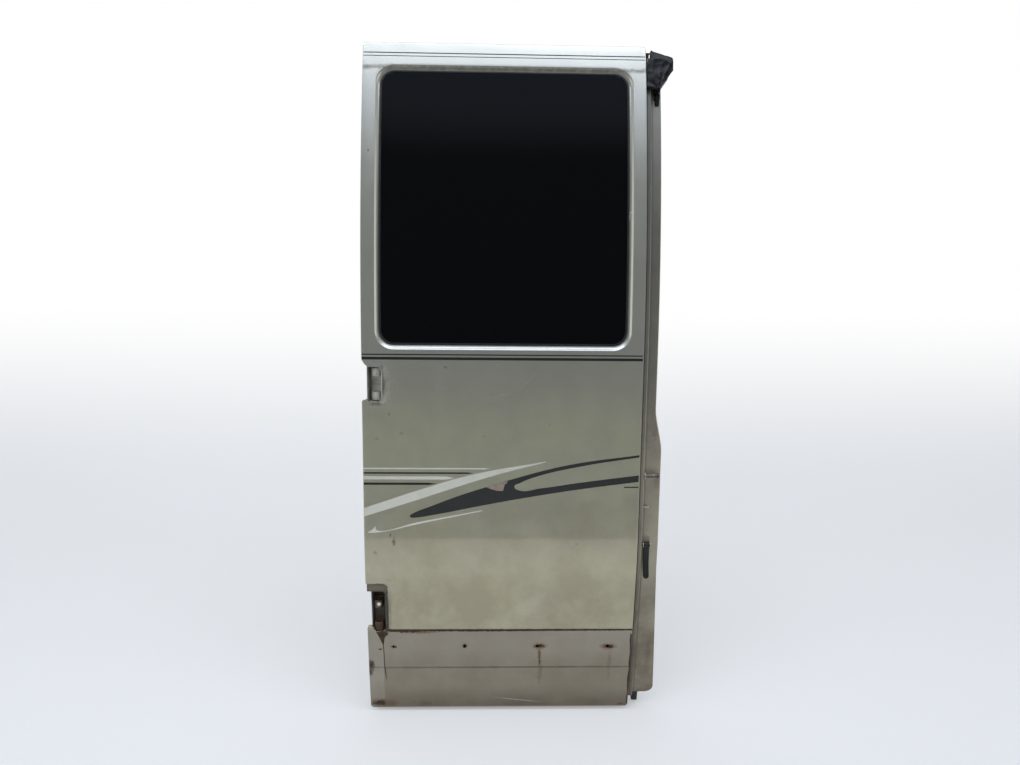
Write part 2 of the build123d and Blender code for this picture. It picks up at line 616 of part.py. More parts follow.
def lower_latch_bolt():
    """Black bolt that drops below the meeting edge."""
    bolt = Box(BOLT_WIDTH, BOLT_DEPTH, BOLT_LENGTH, align=(Align.CENTER, Align.CENTER, Align.MIN))
    nose = bolt.edges().group_by(Axis.Z)[0]
    return bolt_frame() * chamfer(nose, 2.0)


def lower_latch_guide():
    """Square tube behind the ledge that the bolt slides in."""
    align = (Align.CENTER, Align.CENTER, Align.MIN)
    inner_width = BOLT_WIDTH + 2 * BOLT_CLEARANCE
    inner_depth = BOLT_DEPTH + 2 * BOLT_CLEARANCE
    outer = Box(inner_width + 2 * GUIDE_WALL, inner_depth + 2 * GUIDE_WALL, GUIDE_HEIGHT, align=align)
    inner = Box(inner_width, inner_depth, GUIDE_HEIGHT, align=align)
    return bolt_frame() * Pos(0, 0, GUIDE_FOOT) * (outer - inner)


def edge_buffer():
    """Small pale buffer strip across the outer ledge."""
    y = skin_y(BUFFER_HEIGHT) + FLANGE_DEPTH
    block = Box(BUFFER_WIDTH, BUFFER_DEPTH, BUFFER_THICKNESS, align=(Align.MIN, Align.MAX, Align.CENTER))
    block = fillet(block.edges().filter_by(Axis.X), BUFFER_ROUNDING)
    return Pos(LEDGE_EDGE + SEAT_GAP, y, BUFFER_HEIGHT) * block


def wrapped_upper_latch():
    """Upper latch under a gathered black film, with the film's loose tail below."""
    left = LEAF_WIDTH + WRAP_EDGE_GAP
    step = LEDGE_EDGE + SEAT_GAP
    right = LEDGE_EDGE + WRAP_REACH
    top = LEAF_HEIGHT - WRAP_TOP_DROP
    foot = top - WRAP_HEIGHT
    middle = step + WRAP_TAIL_WIDTH + WRAP_ROUNDING
    outline = make_face(Polyline((left, foot), (middle, foot), (right, foot + WRAP_WAIST),
                                 (right, top - WRAP_SHOULDER), (step, top), (left, top), close=True))
    outline = fillet(outline.vertices(), WRAP_ROUNDING)
    depths = layer(WRAP_FRONT, LEDGE_DEPTH - SEAT_GAP, left, right)
    depths += layer(LEDGE_DEPTH - SEAT_GAP, FLANGE_DEPTH - SEAT_GAP, step, right)
    lump = extrude(Plane.XZ * outline, amount=REACH, both=True) & depths
    tail_left = step + WRAP_ROUNDING
    tail = sheet(FLANGE_DEPTH - SEAT_GAP - WRAP_TAIL_THICKNESS, FLANGE_DEPTH - SEAT_GAP, tail_left,
                 tail_left + WRAP_TAIL_WIDTH, foot - WRAP_TAIL_LENGTH, foot + WRAP_ROUNDING)
    return lump + tail


def nodes():
    """Every piece of the leaf by its node name, in the drawing frame."""
    upper_flange, lower_flange = meeting_flanges()
    return {
        "outer_skin": outer_skin(),
        "lower_repair_panel": lower_repair_panel(),
        "window_seal": window_seal(),
        "window_glass": window_glass(),
        "hinge_channel": hinge_channel(),
        "lock_channel": lock_channel(),
        "header_channel": header_channel(),
        "waist_channel": waist_channel(),
        "sill_channel": sill_channel(),
        "lower_inner_panel": lower_inner_panel(),
        "trim_board": trim_board(),
        "weatherstrip": weatherstrip(),
        "upper_meeting_flange": upper_flange,
        "meeting_flange": lower_flange,
        "upper_hinge_pan": hinge_pan(UPPER_POCKET),
        "lower_hinge_pan": hinge_pan(LOWER_POCKET),
        "upper_hinge_bracket": hinge_bracket(UPPER_POCKET),
        "lower_hinge_bracket": hinge_bracket(LOWER_POCKET),
        "upper_hinge_bushes": hinge_bushes(UPPER_POCKET),
        "lower_hinge_bushes": hinge_bushes(LOWER_POCKET),
        "striker_plate": striker_plate(),
        "striker_pin": striker_pin(),
        "lever_bracket": lever_bracket(),
        "lever_pin": lever_pin(),
        "release_lever": release_lever(),
        "lower_latch_guide": lower_latch_guide(),
        "lower_latch_bolt": lower_latch_bolt(),
        "edge_buffer": edge_buffer(),
        "wrapped_upper_latch": wrapped_upper_latch(),
    }


# The origin lies on the underside of the lower hinge's upper lug, just behind the pin line.
TO_ORIGIN = Pos(-PIN_LINE_X, -PIN_LINE_Y - ORIGIN_BEHIND_PIN, LUG_HEIGHT / 2 - LOWER_POCKET.top_lug)

os.makedirs("parts", exist_ok=True)
for name, piece in nodes().items():
    solids = piece if isinstance(piece, list) else piece.solids()
    placed = [TO_ORIGIN * solid for solid in solids]
    export_step(placed[0] if len(placed) == 1 else Compound(children=placed), f"parts/{name}.step")
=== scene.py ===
"""Looks of a detached van side door leaf: aged silver lacquer, dark glass, rust and bare fittings.

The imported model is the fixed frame. Lengths below are millimetres of the leaf's drawing frame:
x runs from the hinge edge, depth runs inwards from the skin's outer face and z runs up from
the lower edge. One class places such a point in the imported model's own frame, in metres.
"""
import json
import logging
import math
from dataclasses import dataclass, field, replace
from enum import Enum
from functools import cache

import bmesh
import bpy
from mathutils import Matrix, Vector, noise

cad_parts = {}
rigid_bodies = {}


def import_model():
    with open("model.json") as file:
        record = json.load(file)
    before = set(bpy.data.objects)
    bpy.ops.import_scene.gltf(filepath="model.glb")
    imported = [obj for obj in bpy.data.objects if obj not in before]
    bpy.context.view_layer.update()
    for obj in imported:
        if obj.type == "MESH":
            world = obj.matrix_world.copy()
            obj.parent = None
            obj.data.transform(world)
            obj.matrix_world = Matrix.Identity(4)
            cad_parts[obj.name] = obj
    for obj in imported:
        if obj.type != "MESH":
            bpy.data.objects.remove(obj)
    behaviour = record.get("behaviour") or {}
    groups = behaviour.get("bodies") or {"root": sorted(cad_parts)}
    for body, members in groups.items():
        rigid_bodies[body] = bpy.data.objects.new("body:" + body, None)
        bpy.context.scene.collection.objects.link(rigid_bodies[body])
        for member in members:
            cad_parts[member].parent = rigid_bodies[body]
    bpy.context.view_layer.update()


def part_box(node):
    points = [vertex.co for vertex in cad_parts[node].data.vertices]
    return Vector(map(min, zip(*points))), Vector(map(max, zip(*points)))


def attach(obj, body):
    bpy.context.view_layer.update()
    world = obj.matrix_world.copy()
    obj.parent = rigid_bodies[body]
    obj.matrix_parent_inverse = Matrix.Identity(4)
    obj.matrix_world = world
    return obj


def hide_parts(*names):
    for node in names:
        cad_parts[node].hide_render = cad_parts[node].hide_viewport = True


LOG = logging.getLogger("door_leaf")
MM = 0.001

# Points of a drawing this near to each other, in millimetres, are one point.
WELD = 0.01
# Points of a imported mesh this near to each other, in metres, are one point.
PACKED_WELD = 1e-6
# Part of its radius that a rounding has covered halfway round.
HALFWAY = 0.7
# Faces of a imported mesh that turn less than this, in degrees, are one face.
FLAT_ANGLE = 0.8
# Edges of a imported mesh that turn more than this, in degrees, are eased.
EDGE_ANGLE = 40.0
# Edges between two points of a smooth outline.
CURVE_STEPS = 10

Edges = list[bmesh.types.BMEdge]
Verts = list[bmesh.types.BMVert]
Mesh = bmesh.types.BMesh
Tree = bpy.types.NodeTree
Socket = bpy.types.NodeSocket
Colour = tuple[float, float, float, float]
Pair = tuple[float, float]
Triple = tuple[float, float, float]
Outline = tuple[tuple[float, float, bool], ...]


class Slot(Enum):
    """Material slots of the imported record."""

    SILVER = "silver_paint"
    REPAIR = "repair_paint"
    GLASS = "tinted_glass"
    RUBBER = "black_rubber"
    INNER = "inner_paint"
    HINGE = "hinge_steel"
    BRONZE = "bush_bronze"
    STEEL = "bare_steel"
    BLACK = "black_metal"
    NYLON = "pale_plastic"
    LINING = "lining_board"
    FILM = "black_film"


class Body(Enum):
    """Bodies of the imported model."""

    LEAF = "leaf"
    LEVER = "lever"
    BOLT = "bolt"


class Round(Enum):
    """What a rounding is laid on."""

    CORNERS = "VERTICES"
    EDGES = "EDGES"


@dataclass(frozen=True)
class Leaf:
    """Sizes that several pieces share, and the side profile of the skin."""

    width: float = 606.0
    height: float = 1500.0
    hem_rounding: float = 1.2
    trim_holes: tuple[float, ...] = (58.0, 221.0, 387.0, 550.0)
    trim_hole_z: float = 165.0
    tuck_top: float = 112.0
    tuck_angle: float = 9.5
    bend_foot: float = 330.0
    bend_top: float = 440.0
    slope_angle: float = 8.0
    belt: float = 840.0
    tumblehome: float = 2400.0
    wave_length: float = 230.0
    wave_depth: float = 0.2
    wave_rest: float = 0.48
    ripples_per_wave: float = 2.7
    wave_to_ripple: float = 3.0

    def skin_y(self, z: float) -> float:
        """Depth of the skin's outer face at a height.

        Args:
            z: Height above the lower edge.

        Returns:
            The depth, measured from the flat middle of the leaf.
        """
        slope = math.radians(self.slope_angle)
        radius = (self.bend_top - self.bend_foot) / math.sin(slope)
        if z > self.belt:
            return self.tumblehome - math.sqrt(self.tumblehome ** 2 - (z - self.belt) ** 2)
        if z > self.bend_top:
            return 0.0
        if z > self.bend_foot:
            return radius - math.sqrt(radius ** 2 - (self.bend_top - z) ** 2)
        foot = radius * (1 - math.cos(slope))
        if z > self.tuck_top:
            return foot + (self.bend_foot - z) * math.tan(slope)
        tuck = foot + (self.bend_foot - self.tuck_top) * math.tan(slope)
        return tuck + (self.tuck_top - z) * math.tan(math.radians(self.tuck_angle))

    def wave(self, x: float, z: float) -> float:
        """Soft unevenness of the old sheet at a point of its face.

        Args:
            x: Distance from the hinge edge.
            z: Height above the lower edge.

        Returns:
            How far the face lies inwards there.
        """
        spot = Vector((x, 0.0, z)) / self.wave_length
        ripple = noise.noise(spot * self.ripples_per_wave) / self.wave_to_ripple
        return self.wave_rest + self.wave_depth * (noise.noise(spot) + ripple)

    def place(self, x: float, depth: float, z: float) -> Vector:
        """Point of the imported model's frame for a point of the drawing frame.

        Args:
            x: Distance from the hinge edge.
            depth: Distance inwards from the skin's outer face.
            z: Height above the lower edge.

        Returns:
            The point in metres.
        """
        return self.corner() + Vector((x, self.skin_y(z) + depth, z)) * MM

    def drawn(self, point: Vector) -> Vector:
        """Point of the drawing frame, before the side profile, for a point in metres."""
        return (point - self.corner()) / MM

    @cache
    def corner(self) -> Vector:
        """The drawing frame's origin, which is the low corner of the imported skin."""
        return Vector(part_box("outer_skin")[0])


LEAF = Leaf()


def linear(code: str) -> Colour:
    """Linear colour of an sRGB hex code.

    Args:
        code: Six hex digits after a hash sign.

    Returns:
        Red, green, blue and an opaque alpha.
    """
    parts = [int(code[start:start + 2], 16) / 255 for start in (1, 3, 5)]
    parts = [p / 12.92 if p <= 0.04045 else ((p + 0.055) / 1.055) ** 2.4 for p in parts]
    return parts[0], parts[1], parts[2], 1.0


def per_metre(size: float) -> float:
    """Texture scale at which one feature of a noise is about this many millimetres wide."""
    return 1.0 / (size * MM)


def bare_tree(owner: bpy.types.Material | bpy.types.World) -> Tree:
    """Emptied node tree of a new material or world.

    Args:
        owner: The material or world.

    Returns:
        The tree.
    """
    owner.use_nodes = True
    owner.node_tree.nodes.clear()
    return owner.node_tree


def add(tree: Tree, kind: str, inputs: dict | None = None, **settings) -> bpy.types.Node:
    """Adds a node with its settings and links.

    Args:
        tree: The node tree to add to.
        kind: Name of the node type after "ShaderNode".
        inputs: Values or output sockets for the node's inputs, by name or number.
        **settings: Properties of the node itself.

    Returns:
        The new node.
    """
    node = tree.nodes.new("ShaderNode" + kind)
    for name, value in settings.items():
        setattr(node, name, value)
    for key, value in (inputs or {}).items():
        if isinstance(value, Socket):
            tree.links.new(value, node.inputs[key])
        else:
            node.inputs[key].default_value = value
    return node


def patchy(tree: Tree, position: Socket, size: float, span: Pair, to: Pair = (0.0, 1.0), detail: float = 6.0,
           roughness: float = 0.65) -> Socket:
    """Value that wanders over the surface in patches.

    Args:
        tree: The material's node tree.
        position: Output that gives the point in metres.
        size: Width of a patch in millimetres.
        span: Stretch of the noise that is spread over the values.
        to: Values at the two ends of that stretch.
        detail: Number of finer layers in the noise.
        roughness: Weight of each finer layer.

    Returns:
        The value's output.
    """
    wander = add(tree, "TexNoise", {"Vector": position, "Scale": per_metre(size), "Detail": detail,
                                    "Roughness": roughness})
    spread = add(tree, "MapRange", {"Value": wander.outputs[0], "From Min": span[0], "From Max": span[1],
                                    "To Min": to[0], "To Max": to[1]})
    return spread.outputs[0]


def laid_over(tree: Tree, mask: Socket, under: Socket | Colour, code: str) -> Socket:
    """Lays an sRGB colour over another where a mask says so."""
    return add(tree, "Mix", {0: mask, 6: under, 7: linear(code)}, data_type="RGBA").outputs[2]


@dataclass(frozen=True)
class Spot:
    """Ragged oval mark on the leaf's outer side."""

    x: float
    z: float
    wide: float
    tall: float
    strength: float = 1.0
    turn: float = 0.0


@dataclass(frozen=True)
class StainAndShade:
    """Stains and painted shade of one kind: colour, where they lie, how dull they are and how ragged."""

    colour: str
    spots: tuple[Spot, ...]
    roughness: float = 0.8
    ragged_mm: float = 6.0
    raggedness: float = 0.9
    core: float = 0.35

    def mask(self, tree: Tree, position: Socket) -> Socket:
        """Strength of the marks over the surface.

        Args:
            tree: The material's node tree.
            position: Output that gives the point in metres.

        Returns:
            Output that is the mark's strength in its core and 0 outside it.
        """
        sway = self.raggedness / 2
        wobble = patchy(tree, position, self.ragged_mm, (0.25, 0.75), (-sway, sway), 5.0)
        total: Socket | float = 0.0
        for spot in self.spots:
            local = add(tree, "Mapping", {"Vector": position, "Location": LEAF.place(spot.x, 0.0, spot.z),
                                          "Rotation": (0.0, math.radians(spot.turn), 0.0),
                                          "Scale": (spot.wide * MM, 1.0, spot.tall * MM)},
                        vector_type="TEXTURE")
            reach = add(tree, "VectorMath", {0: local.outputs[0]}, operation="LENGTH")
            worn = add(tree, "Math", {0: reach.outputs["Value"], 1: wobble}, operation="ADD")
            near = add(tree, "MapRange", {"Value": worn.outputs[0], "From Min": 1.0, "From Max": self.core,
                                          "To Max": spot.strength})
            total = add(tree, "Math", {0: total, 1: near.outputs[0]}, operation="MAXIMUM").outputs[0]
        return total


@dataclass(frozen=True)
class DustAndReflection:
    """Dust, grime and painted reflection in a band that thickens between two heights of the leaf."""

    colour: str
    clean_z: float
    dirty_z: float
    cover: float
    patch_mm: float = 60.0

    def mask(self, tree: Tree, position: Socket) -> Socket:
        """Cover of the band over the surface.

        Args:
            tree: The material's node tree.
            position: Output that gives the point in metres.

        Returns:
            The cover's output.
        """
        height = add(tree, "SeparateXYZ", {0: position}).outputs["Z"]
        clean, dirty = (LEAF.place(0.0, 0.0, z).z for z in (self.clean_z, self.dirty_z))
        level = add(tree, "MapRange", {"Value": height, "From Min": clean, "From Max": dirty,
                                       "To Max": self.cover}, interpolation_type="SMOOTHSTEP")
        patches = patchy(tree, position, self.patch_mm, (0.3, 0.6), (0.45, 1.0))
        return add(tree, "Math", {0: level.outputs[0], 1: patches}, operation="MULTIPLY").outputs[0]


@dataclass(frozen=True)
class Finish:
    """A real surface: its colours, how it takes light, its grain and its marks."""

    name: str
    slot: Slot
    colour: str
    cloud: str
    roughness: float
    roughness_swing: float = 0.06
    metallic: float = 0.0
    cloud_mm: float = 120.0
    grain_mm: float = 1.5
    grain_depth: float = 0.03
    grain_strength: float = 0.5
    speckle: str | None = None
    speckle_mm: float = 9.0
    speckle_share: float = 0.36
    speckle_edge: float = 0.12
    speckle_cover: float = 0.7
    coat: float = 0.0
    coat_roughness: float = 0.05
    specular: float = 0.5
    dust_and_reflection: tuple[DustAndReflection, ...] = ()
    stains_and_shade: tuple[StainAndShade, ...] = ()

    def swing(self) -> Pair:
        """Least and greatest roughness."""
        return self.roughness - self.roughness_swing, self.roughness + self.roughness_swing

    def material(self) -> bpy.types.Material:
        """The finish as a node material, made once.

        Returns:
            The material.
        """
        if self.name in bpy.data.materials:
            return bpy.data.materials[self.name]
        made = bpy.data.materials.new(self.name)
        tree = bare_tree(made)
        position = add(tree, "TexCoord").outputs["Object"]
        colour = self.clouds(tree, position)
        rough = patchy(tree, position, self.cloud_mm / 3, (0.3, 0.7), self.swing(), 4.0, 0.5)
        unmarked: Socket | float = 1.0
        for marking in self.stains_and_shade:
            mask = marking.mask(tree, position)
            colour = laid_over(tree, mask, colour, marking.colour)
            rough = add(tree, "Mix", {0: mask, 2: rough, 3: marking.roughness}, data_type="FLOAT").outputs[0]
            rest = add(tree, "Math", {0: 1.0, 1: mask}, operation="SUBTRACT").outputs[0]
            unmarked = add(tree, "Math", {0: unmarked, 1: rest}, operation="MULTIPLY").outputs[0]
        grain = add(tree, "TexNoise", {"Vector": position, "Scale": per_metre(self.grain_mm), "Detail": 2.0})
        bump = add(tree, "Bump", {"Height": grain.outputs[0], "Strength": self.grain_strength,
                                  "Distance": self.grain_depth * MM})
        shader = add(tree, "BsdfPrincipled", {
            "Base Color": colour, "Roughness": rough, "Normal": bump.outputs[0], "Metallic": self.metallic,
            "Coat Weight": self.coat, "Coat Roughness": self.coat_roughness,
            "Specular IOR Level": self.specular})
        for name, value in (("Metallic", self.metallic), ("Coat Weight", self.coat)):
            if self.stains_and_shade and value:
                share = add(tree, "Math", {0: unmarked, 1: value}, operation="MULTIPLY")
                tree.links.new(share.outputs[0], shader.inputs[name])
        add(tree, "OutputMaterial", {"Surface": shader.outputs[0]})
        return made

    def clouds(self, tree: Tree, position: Socket) -> Socket:
        """Base colour with its clouds, speckles, and bands of dust and painted reflection.

        Args:
            tree: The material's node tree.
            position: Output that gives the point in metres.

        Returns:
            The colour output.
        """
        share = patchy(tree, position, self.cloud_mm, (0.35, 0.65), roughness=0.6)
        colour = laid_over(tree, share, linear(self.colour), self.cloud)
        if self.speckle:
            span = (self.speckle_share, self.speckle_share - self.speckle_edge)
            share = patchy(tree, position, self.speckle_mm, span, (0.0, self.speckle_cover), 7.0, 0.7)
            colour = laid_over(tree, share, colour, self.speckle)
        for dust_and_reflection in self.dust_and_reflection:
            colour = laid_over(tree, dust_and_reflection.mask(tree, position), colour, dust_and_reflection.colour)
        return colour


@dataclass(frozen=True)
class Glass(Finish):
    """Glass that is coloured in the mass and a little smeared."""

    index: float = 1.5
    transmission: float = 0.12

    def material(self) -> bpy.types.Material:
        """The glass as a node material.

        Returns:
            The material.
        """
        made = bpy.data.materials.new(self.name)
        tree = bare_tree(made)
        position = add(tree, "TexCoord").outputs["Object"]
        smear = patchy(tree, position, self.cloud_mm, (0.4, 0.7), self.swing(), 5.0, 0.5)
        shader = add(tree, "BsdfPrincipled", {
            "Base Color": linear(self.colour), "Roughness": smear, "IOR": self.index,
            "Transmission Weight": self.transmission, "Specular IOR Level": self.specular})
        add(tree, "OutputMaterial", {"Surface": shader.outputs[0]})
        return made


RUST_BROWN = "#432F1A"
HOLE_RUST = "#6E4A22"
DEEP_GRIME = "#2B2218"

# Metallic lacquer on pressed steel: satin after years outdoors, dusty below the belt and rusty at its low
# corners. A warm band where the side bends is painted reflection of the floor, and soft dark marks in the
# hinge pockets and under the window's top rim are painted shade.
SILVER_LACQUER = Finish(
    "aged silver lacquer", Slot.SILVER, "#B3B2A8", "#BAB9AF", roughness=0.31, roughness_swing=0.03,
    metallic=0.8, coat=1.0, grain_mm=4.0, grain_depth=0.015,
    dust_and_reflection=(DustAndReflection("#DEDEB4", 860, 650, 0.45, 160), DustAndReflection("#88785A", 620, 380, 0.6, 140),
          # The warm beige band below z 428, where the side bends, is painted reflection of the floor.
          DustAndReflection("#CDBF98", 437, 428, 0.16, 200), DustAndReflection("#564D3C", 400, 290, 0.2, 140),
          DustAndReflection("#8B8478", 214, 202, 0.85, 300), DustAndReflection("#6B6350", 90, 0, 0.5)),
    stains_and_shade=(
        StainAndShade(DEEP_GRIME, (Spot(38, 199, 13, 8), Spot(50, 208, 8, 5, 0.8), Spot(47.5, 260, 3.6, 66, 0.85),
                           Spot(24, 323, 30, 3, 0.8), Spot(44, 318, 8, 6, 0.8),
                           Spot(16, 212, 5, 6, 0.7)), 0.9),
        StainAndShade(RUST_BROWN, (Spot(27, 158, 5, 3), Spot(6, 116, 9, 20), Spot(3, 98, 7, 13, 0.9),
                           Spot(26, 13, 30, 13), Spot(588, 6, 9, 4), Spot(602, 60, 3, 40, 0.6),
                           Spot(602, 150, 3, 40, 0.5)), 0.85, 4.0),
        # Small dark spots of dirt; the long low one at z 110 is painted shade along the crease.
        StainAndShade("#4C4A42", (Spot(84, 668, 7, 6, 0.6), Spot(58, 711, 3, 6, 0.7), Spot(30, 657, 8, 6, 0.6),
                          Spot(160, 768, 14, 12, 0.35), Spot(180, 813, 6, 4, 0.7), Spot(280, 752, 6, 6, 0.5),
                          Spot(262, 662, 5, 4, 0.6), Spot(405, 690, 4, 4, 0.5), Spot(66, 425, 5, 11, 0.8),
                          Spot(58, 440, 2, 5, 0.8), Spot(470, 420, 3, 2, 0.5), Spot(24, 400, 6, 5, 0.4),
                          Spot(16, 1267, 2.4, 4.5, 0.8), Spot(16, 110, 40, 3, 0.5)), 0.6, 4.0, 1.5),
        StainAndShade("#E4E4DE", (Spot(573, 1145, 5, 1.6, 0.7), Spot(570, 1136, 1.4, 9, 0.5)), 0.5, 3.0),
        # Painted shade: soft dark in the upper pocket's dish and along the lower pocket's right edge, and a
        # dark band of painted reflection under the window's top rim.
        StainAndShade("#5E5846", (Spot(44, 776, 26, 46, 0.8), Spot(34, 736, 24, 18, 0.7), Spot(16, 816, 22, 9, 0.5),
                          Spot(53, 262, 4, 74, 0.5), Spot(303, 1446, 900, 7, 0.7)), 0.75, 12.0, core=0.0),
        # Painted shade on the upper pocket's right wall and along its lower edge.
        StainAndShade("#2B271E", (Spot(42.5, 774, 7, 60, 0.95), Spot(30, 733, 30, 7, 0.6)), 0.95, 16.0, 0.5, 0.0),
        StainAndShade("#5B594F", (Spot(355, 783, 60, 3.5, 0.3, -42.0), Spot(300, 752, 20, 4, 0.3, -20.0)), 0.6, 10.0,
              core=0.0),
    ),
)
# The same lacquer on the repair sheet, brushed over and dull, with rust round each hole and painted shade
# along its crease. Its bands darken it from above the crease downwards and again towards the foot.
REPAIR_PAINT = Finish(
    "repair paint", Slot.REPAIR, "#968D7E", "#9D9586", roughness=0.5, metallic=0.35, cloud_mm=90.0,
    speckle="#6A6252", speckle_mm=22.0, speckle_share=0.33,
    dust_and_reflection=(DustAndReflection("#6F6549", 165, 112, 0.40, 120), DustAndReflection("#4E4230", 66, 6, 0.65, 90)),
    stains_and_shade=(
        StainAndShade(HOLE_RUST, (Spot(393, 165, 20, 9), Spot(552, 164, 22, 9), Spot(393, 142, 4.5, 24, 0.9),
                          Spot(221, 167, 8, 7, 0.7), Spot(58, 165, 9, 5, 0.6),
                          Spot(588, 7, 12, 5)), 0.9, 4.0),
        StainAndShade(DEEP_GRIME, (Spot(393, 166, 12, 5), Spot(556, 163, 10, 5), Spot(394, 124, 2.5, 10, 0.8),
                           Spot(221, 167, 5, 5), Spot(62, 164, 5, 3)), 0.95, 3.0),
        StainAndShade("#6B5A43", (Spot(395, 95, 7, 40, 0.4), Spot(556, 120, 6, 44, 0.35), Spot(112, 204, 66, 6, 0.9),
                          Spot(300, 206, 300, 3, 0.7), Spot(130, 11, 20, 6, 0.9), Spot(44, 13, 26, 12, 0.9)),
              0.8, 7.0),
        # Painted shade: a dark line along the crease at z 110.
        StainAndShade("#40382C", (Spot(320, 110, 760, 3.4, 0.8),), 0.7, 20.0, 0.4, 0.0),
        StainAndShade("#C4BDAE", (Spot(347.6, 20.3, 64, 1.2, 0.7, 6.7),), 0.5, 5.0, 0.6),
    ),
)
# The same lacquer where the other leaf closes on it: never polished, brown with road dirt towards the foot.
EDGE_LACQUER = Finish(
    "weathered edge lacquer", Slot.SILVER, "#7F7D75", "#88867D", roughness=0.42, metallic=0.75, cloud_mm=60.0,
    speckle="#6A6355", speckle_mm=20.0,
    dust_and_reflection=(DustAndReflection("#B1AB9A", 1060, 840, 0.45, 90), DustAndReflection("#BFB59E", 780, 600, 0.6, 90),
          DustAndReflection("#5A4F40", 440, 180, 0.7, 70), DustAndReflection("#54483A", 60, 10, 0.6, 40)),
    stains_and_shade=(
        StainAndShade("#5A4A36", (Spot(650, 560, 9, 30, 0.5), Spot(640, 665, 12, 20, 0.5),
                          Spot(652, 120, 10, 60, 0.4)), 0.8, 8.0, core=0.0),
        # Painted shadow: dark lines on the ledge beside the skin's edge and on the outer ledge beside the
        # step.
        StainAndShade("#26231C", (Spot(608.8, 760, 2.6, 1800, 0.85), Spot(613.0, 760, 8, 1800, 0.3),
                          Spot(624.0, 760, 2.4, 1800, 0.25)), 0.9, 40.0, 0.3, 0.4),
    ),
)
# Privacy glass: almost black in the mass, polished on both faces and faintly smeared.
PRIVACY_GLASS = Glass("dark tinted glass", Slot.GLASS, "#07090B", "#07090B", roughness=0.055,
                      roughness_swing=0.035, cloud_mm=70.0, specular=0.04)
# Pressed inner frame: a thin grey coat from the works, never polished, rusty by the lower hinge.
INNER_PAINT = Finish(
    "thin frame paint", Slot.INNER, "#A6A399", "#AEABA1", roughness=0.5, metallic=0.25, grain_mm=2.5,
    speckle="#6B6353", speckle_mm=25.0, speckle_share=0.34, dust_and_reflection=(DustAndReflection("#6A5A41", 120, 0, 0.6),),
    stains_and_shade=(StainAndShade("#5F4326", (Spot(30, 300, 12, 26, 0.7), Spot(30, 220, 14, 16, 0.8)), 0.9),))
# Hinge pans: the same thin paint, brown with packed dirt at the lower one. At the upper hinge it is lifted
# paler than the frame paint, as painted light in the shade of its pocket.
PAN_PAINT = Finish(
    "dirty pan paint", Slot.INNER, "#C2BFB3", "#B5B1A4", roughness=0.6, metallic=0.1, cloud_mm=30.0,
    speckle="#6A5E49", speckle_mm=12.0,
    dust_and_reflection=(DustAndReflection("#7C7262", 340, 326, 0.85, 25), DustAndReflection("#2E2419", 312, 298, 0.75, 12)))
GRIMY_PAN = replace(PAN_PAINT, name="grimy pan paint", colour="#6A5F50", cloud="#53483B")
# Cast hinge halves: pale grey paint, chipped to bright metal and rust, and browned over at the lower hinge.
# At the upper hinge the paint is lifted to near white, as painted light in the shade of its pocket.
HINGE_STEEL = Finish(
    "chipped hinge paint", Slot.HINGE, "#F0EEE6", "#C9C6BA", roughness=0.5, metallic=0.1, cloud_mm=14.0,
    grain_mm=1.2, grain_depth=0.08, speckle="#54412B", speckle_mm=7.0, speckle_share=0.42,
    dust_and_reflection=(DustAndReflection("#3A2E21", 330, 300, 0.85, 14),),
    stains_and_shade=(StainAndShade("#F1EEE6", (Spot(27, 270, 5.5, 5.5),), 0.5, 4.0, 0.3),
            StainAndShade("#4A3320", (Spot(27, 216, 14, 13, 0.9),), 0.9, 4.0)))
GRIMY_HINGE = replace(HINGE_STEEL, name="grimy hinge paint", colour="#6B5F50", cloud="#54483A")
# Sintered bronze: a dull golden ring in each hinge eye.
BUSH_BRONZE = Finish("sintered bronze", Slot.BRONZE, "#A8874E", "#8D6D3C", roughness=0.42, metallic=1.0,
                     cloud_mm=8.0)
# Zinc plating: a grey shine with a few brown freckles.
BARE_STEEL = Finish("zinc plated steel", Slot.STEEL, "#7E7C77", "#65625D", roughness=0.26, metallic=1.0,
                    cloud_mm=10.0, speckle="#6E553A", speckle_mm=5.0, speckle_share=0.3)
# Black coating: deep, half matt, with dust in its pores.
BLACK_METAL = Finish("black coated steel", Slot.BLACK, "#100F0F", "#181716", roughness=0.5, cloud_mm=15.0,
                     grain_mm=0.8, grain_depth=0.05, speckle="#3A352D", speckle_mm=6.0)
# Nylon: warm pale grey with a soft shine.
NYLON = Finish("pale nylon", Slot.NYLON, "#B1ADA0", "#A39E91", roughness=0.5, cloud_mm=10.0)
# Rubber: soft black that hardly shines.
RUBBER = Finish("moulded rubber", Slot.RUBBER, "#161616", "#1E1D1C", roughness=0.7, cloud_mm=30.0,
                grain_mm=0.8, grain_depth=0.05)
# Trim studs: moulded grey plastic with a soft shine, dusty in the dimples.
STUD_PLASTIC = Finish("moulded stud plastic", Slot.NYLON, "#5D5A53", "#67645C", roughness=0.45, cloud_mm=6.0,
                      speckle="#7C766A", speckle_mm=3.0)
# Lining board: flat warm grey with a fine leather grain.
LINING = Finish("vinyl covered board", Slot.LINING, "#8A857B", "#948F84", roughness=0.65, cloud_mm=80.0,
                grain_mm=1.8, grain_depth=0.15)
# Thin polythene sheet: deep black with sharp small highlights along its creases.
FILM = Finish("black polythene film", Slot.FILM, "#0C0C0D", "#161617", roughness=0.36, cloud_mm=25.0,
              grain_mm=6.0, grain_depth=0.05, specular=0.22)
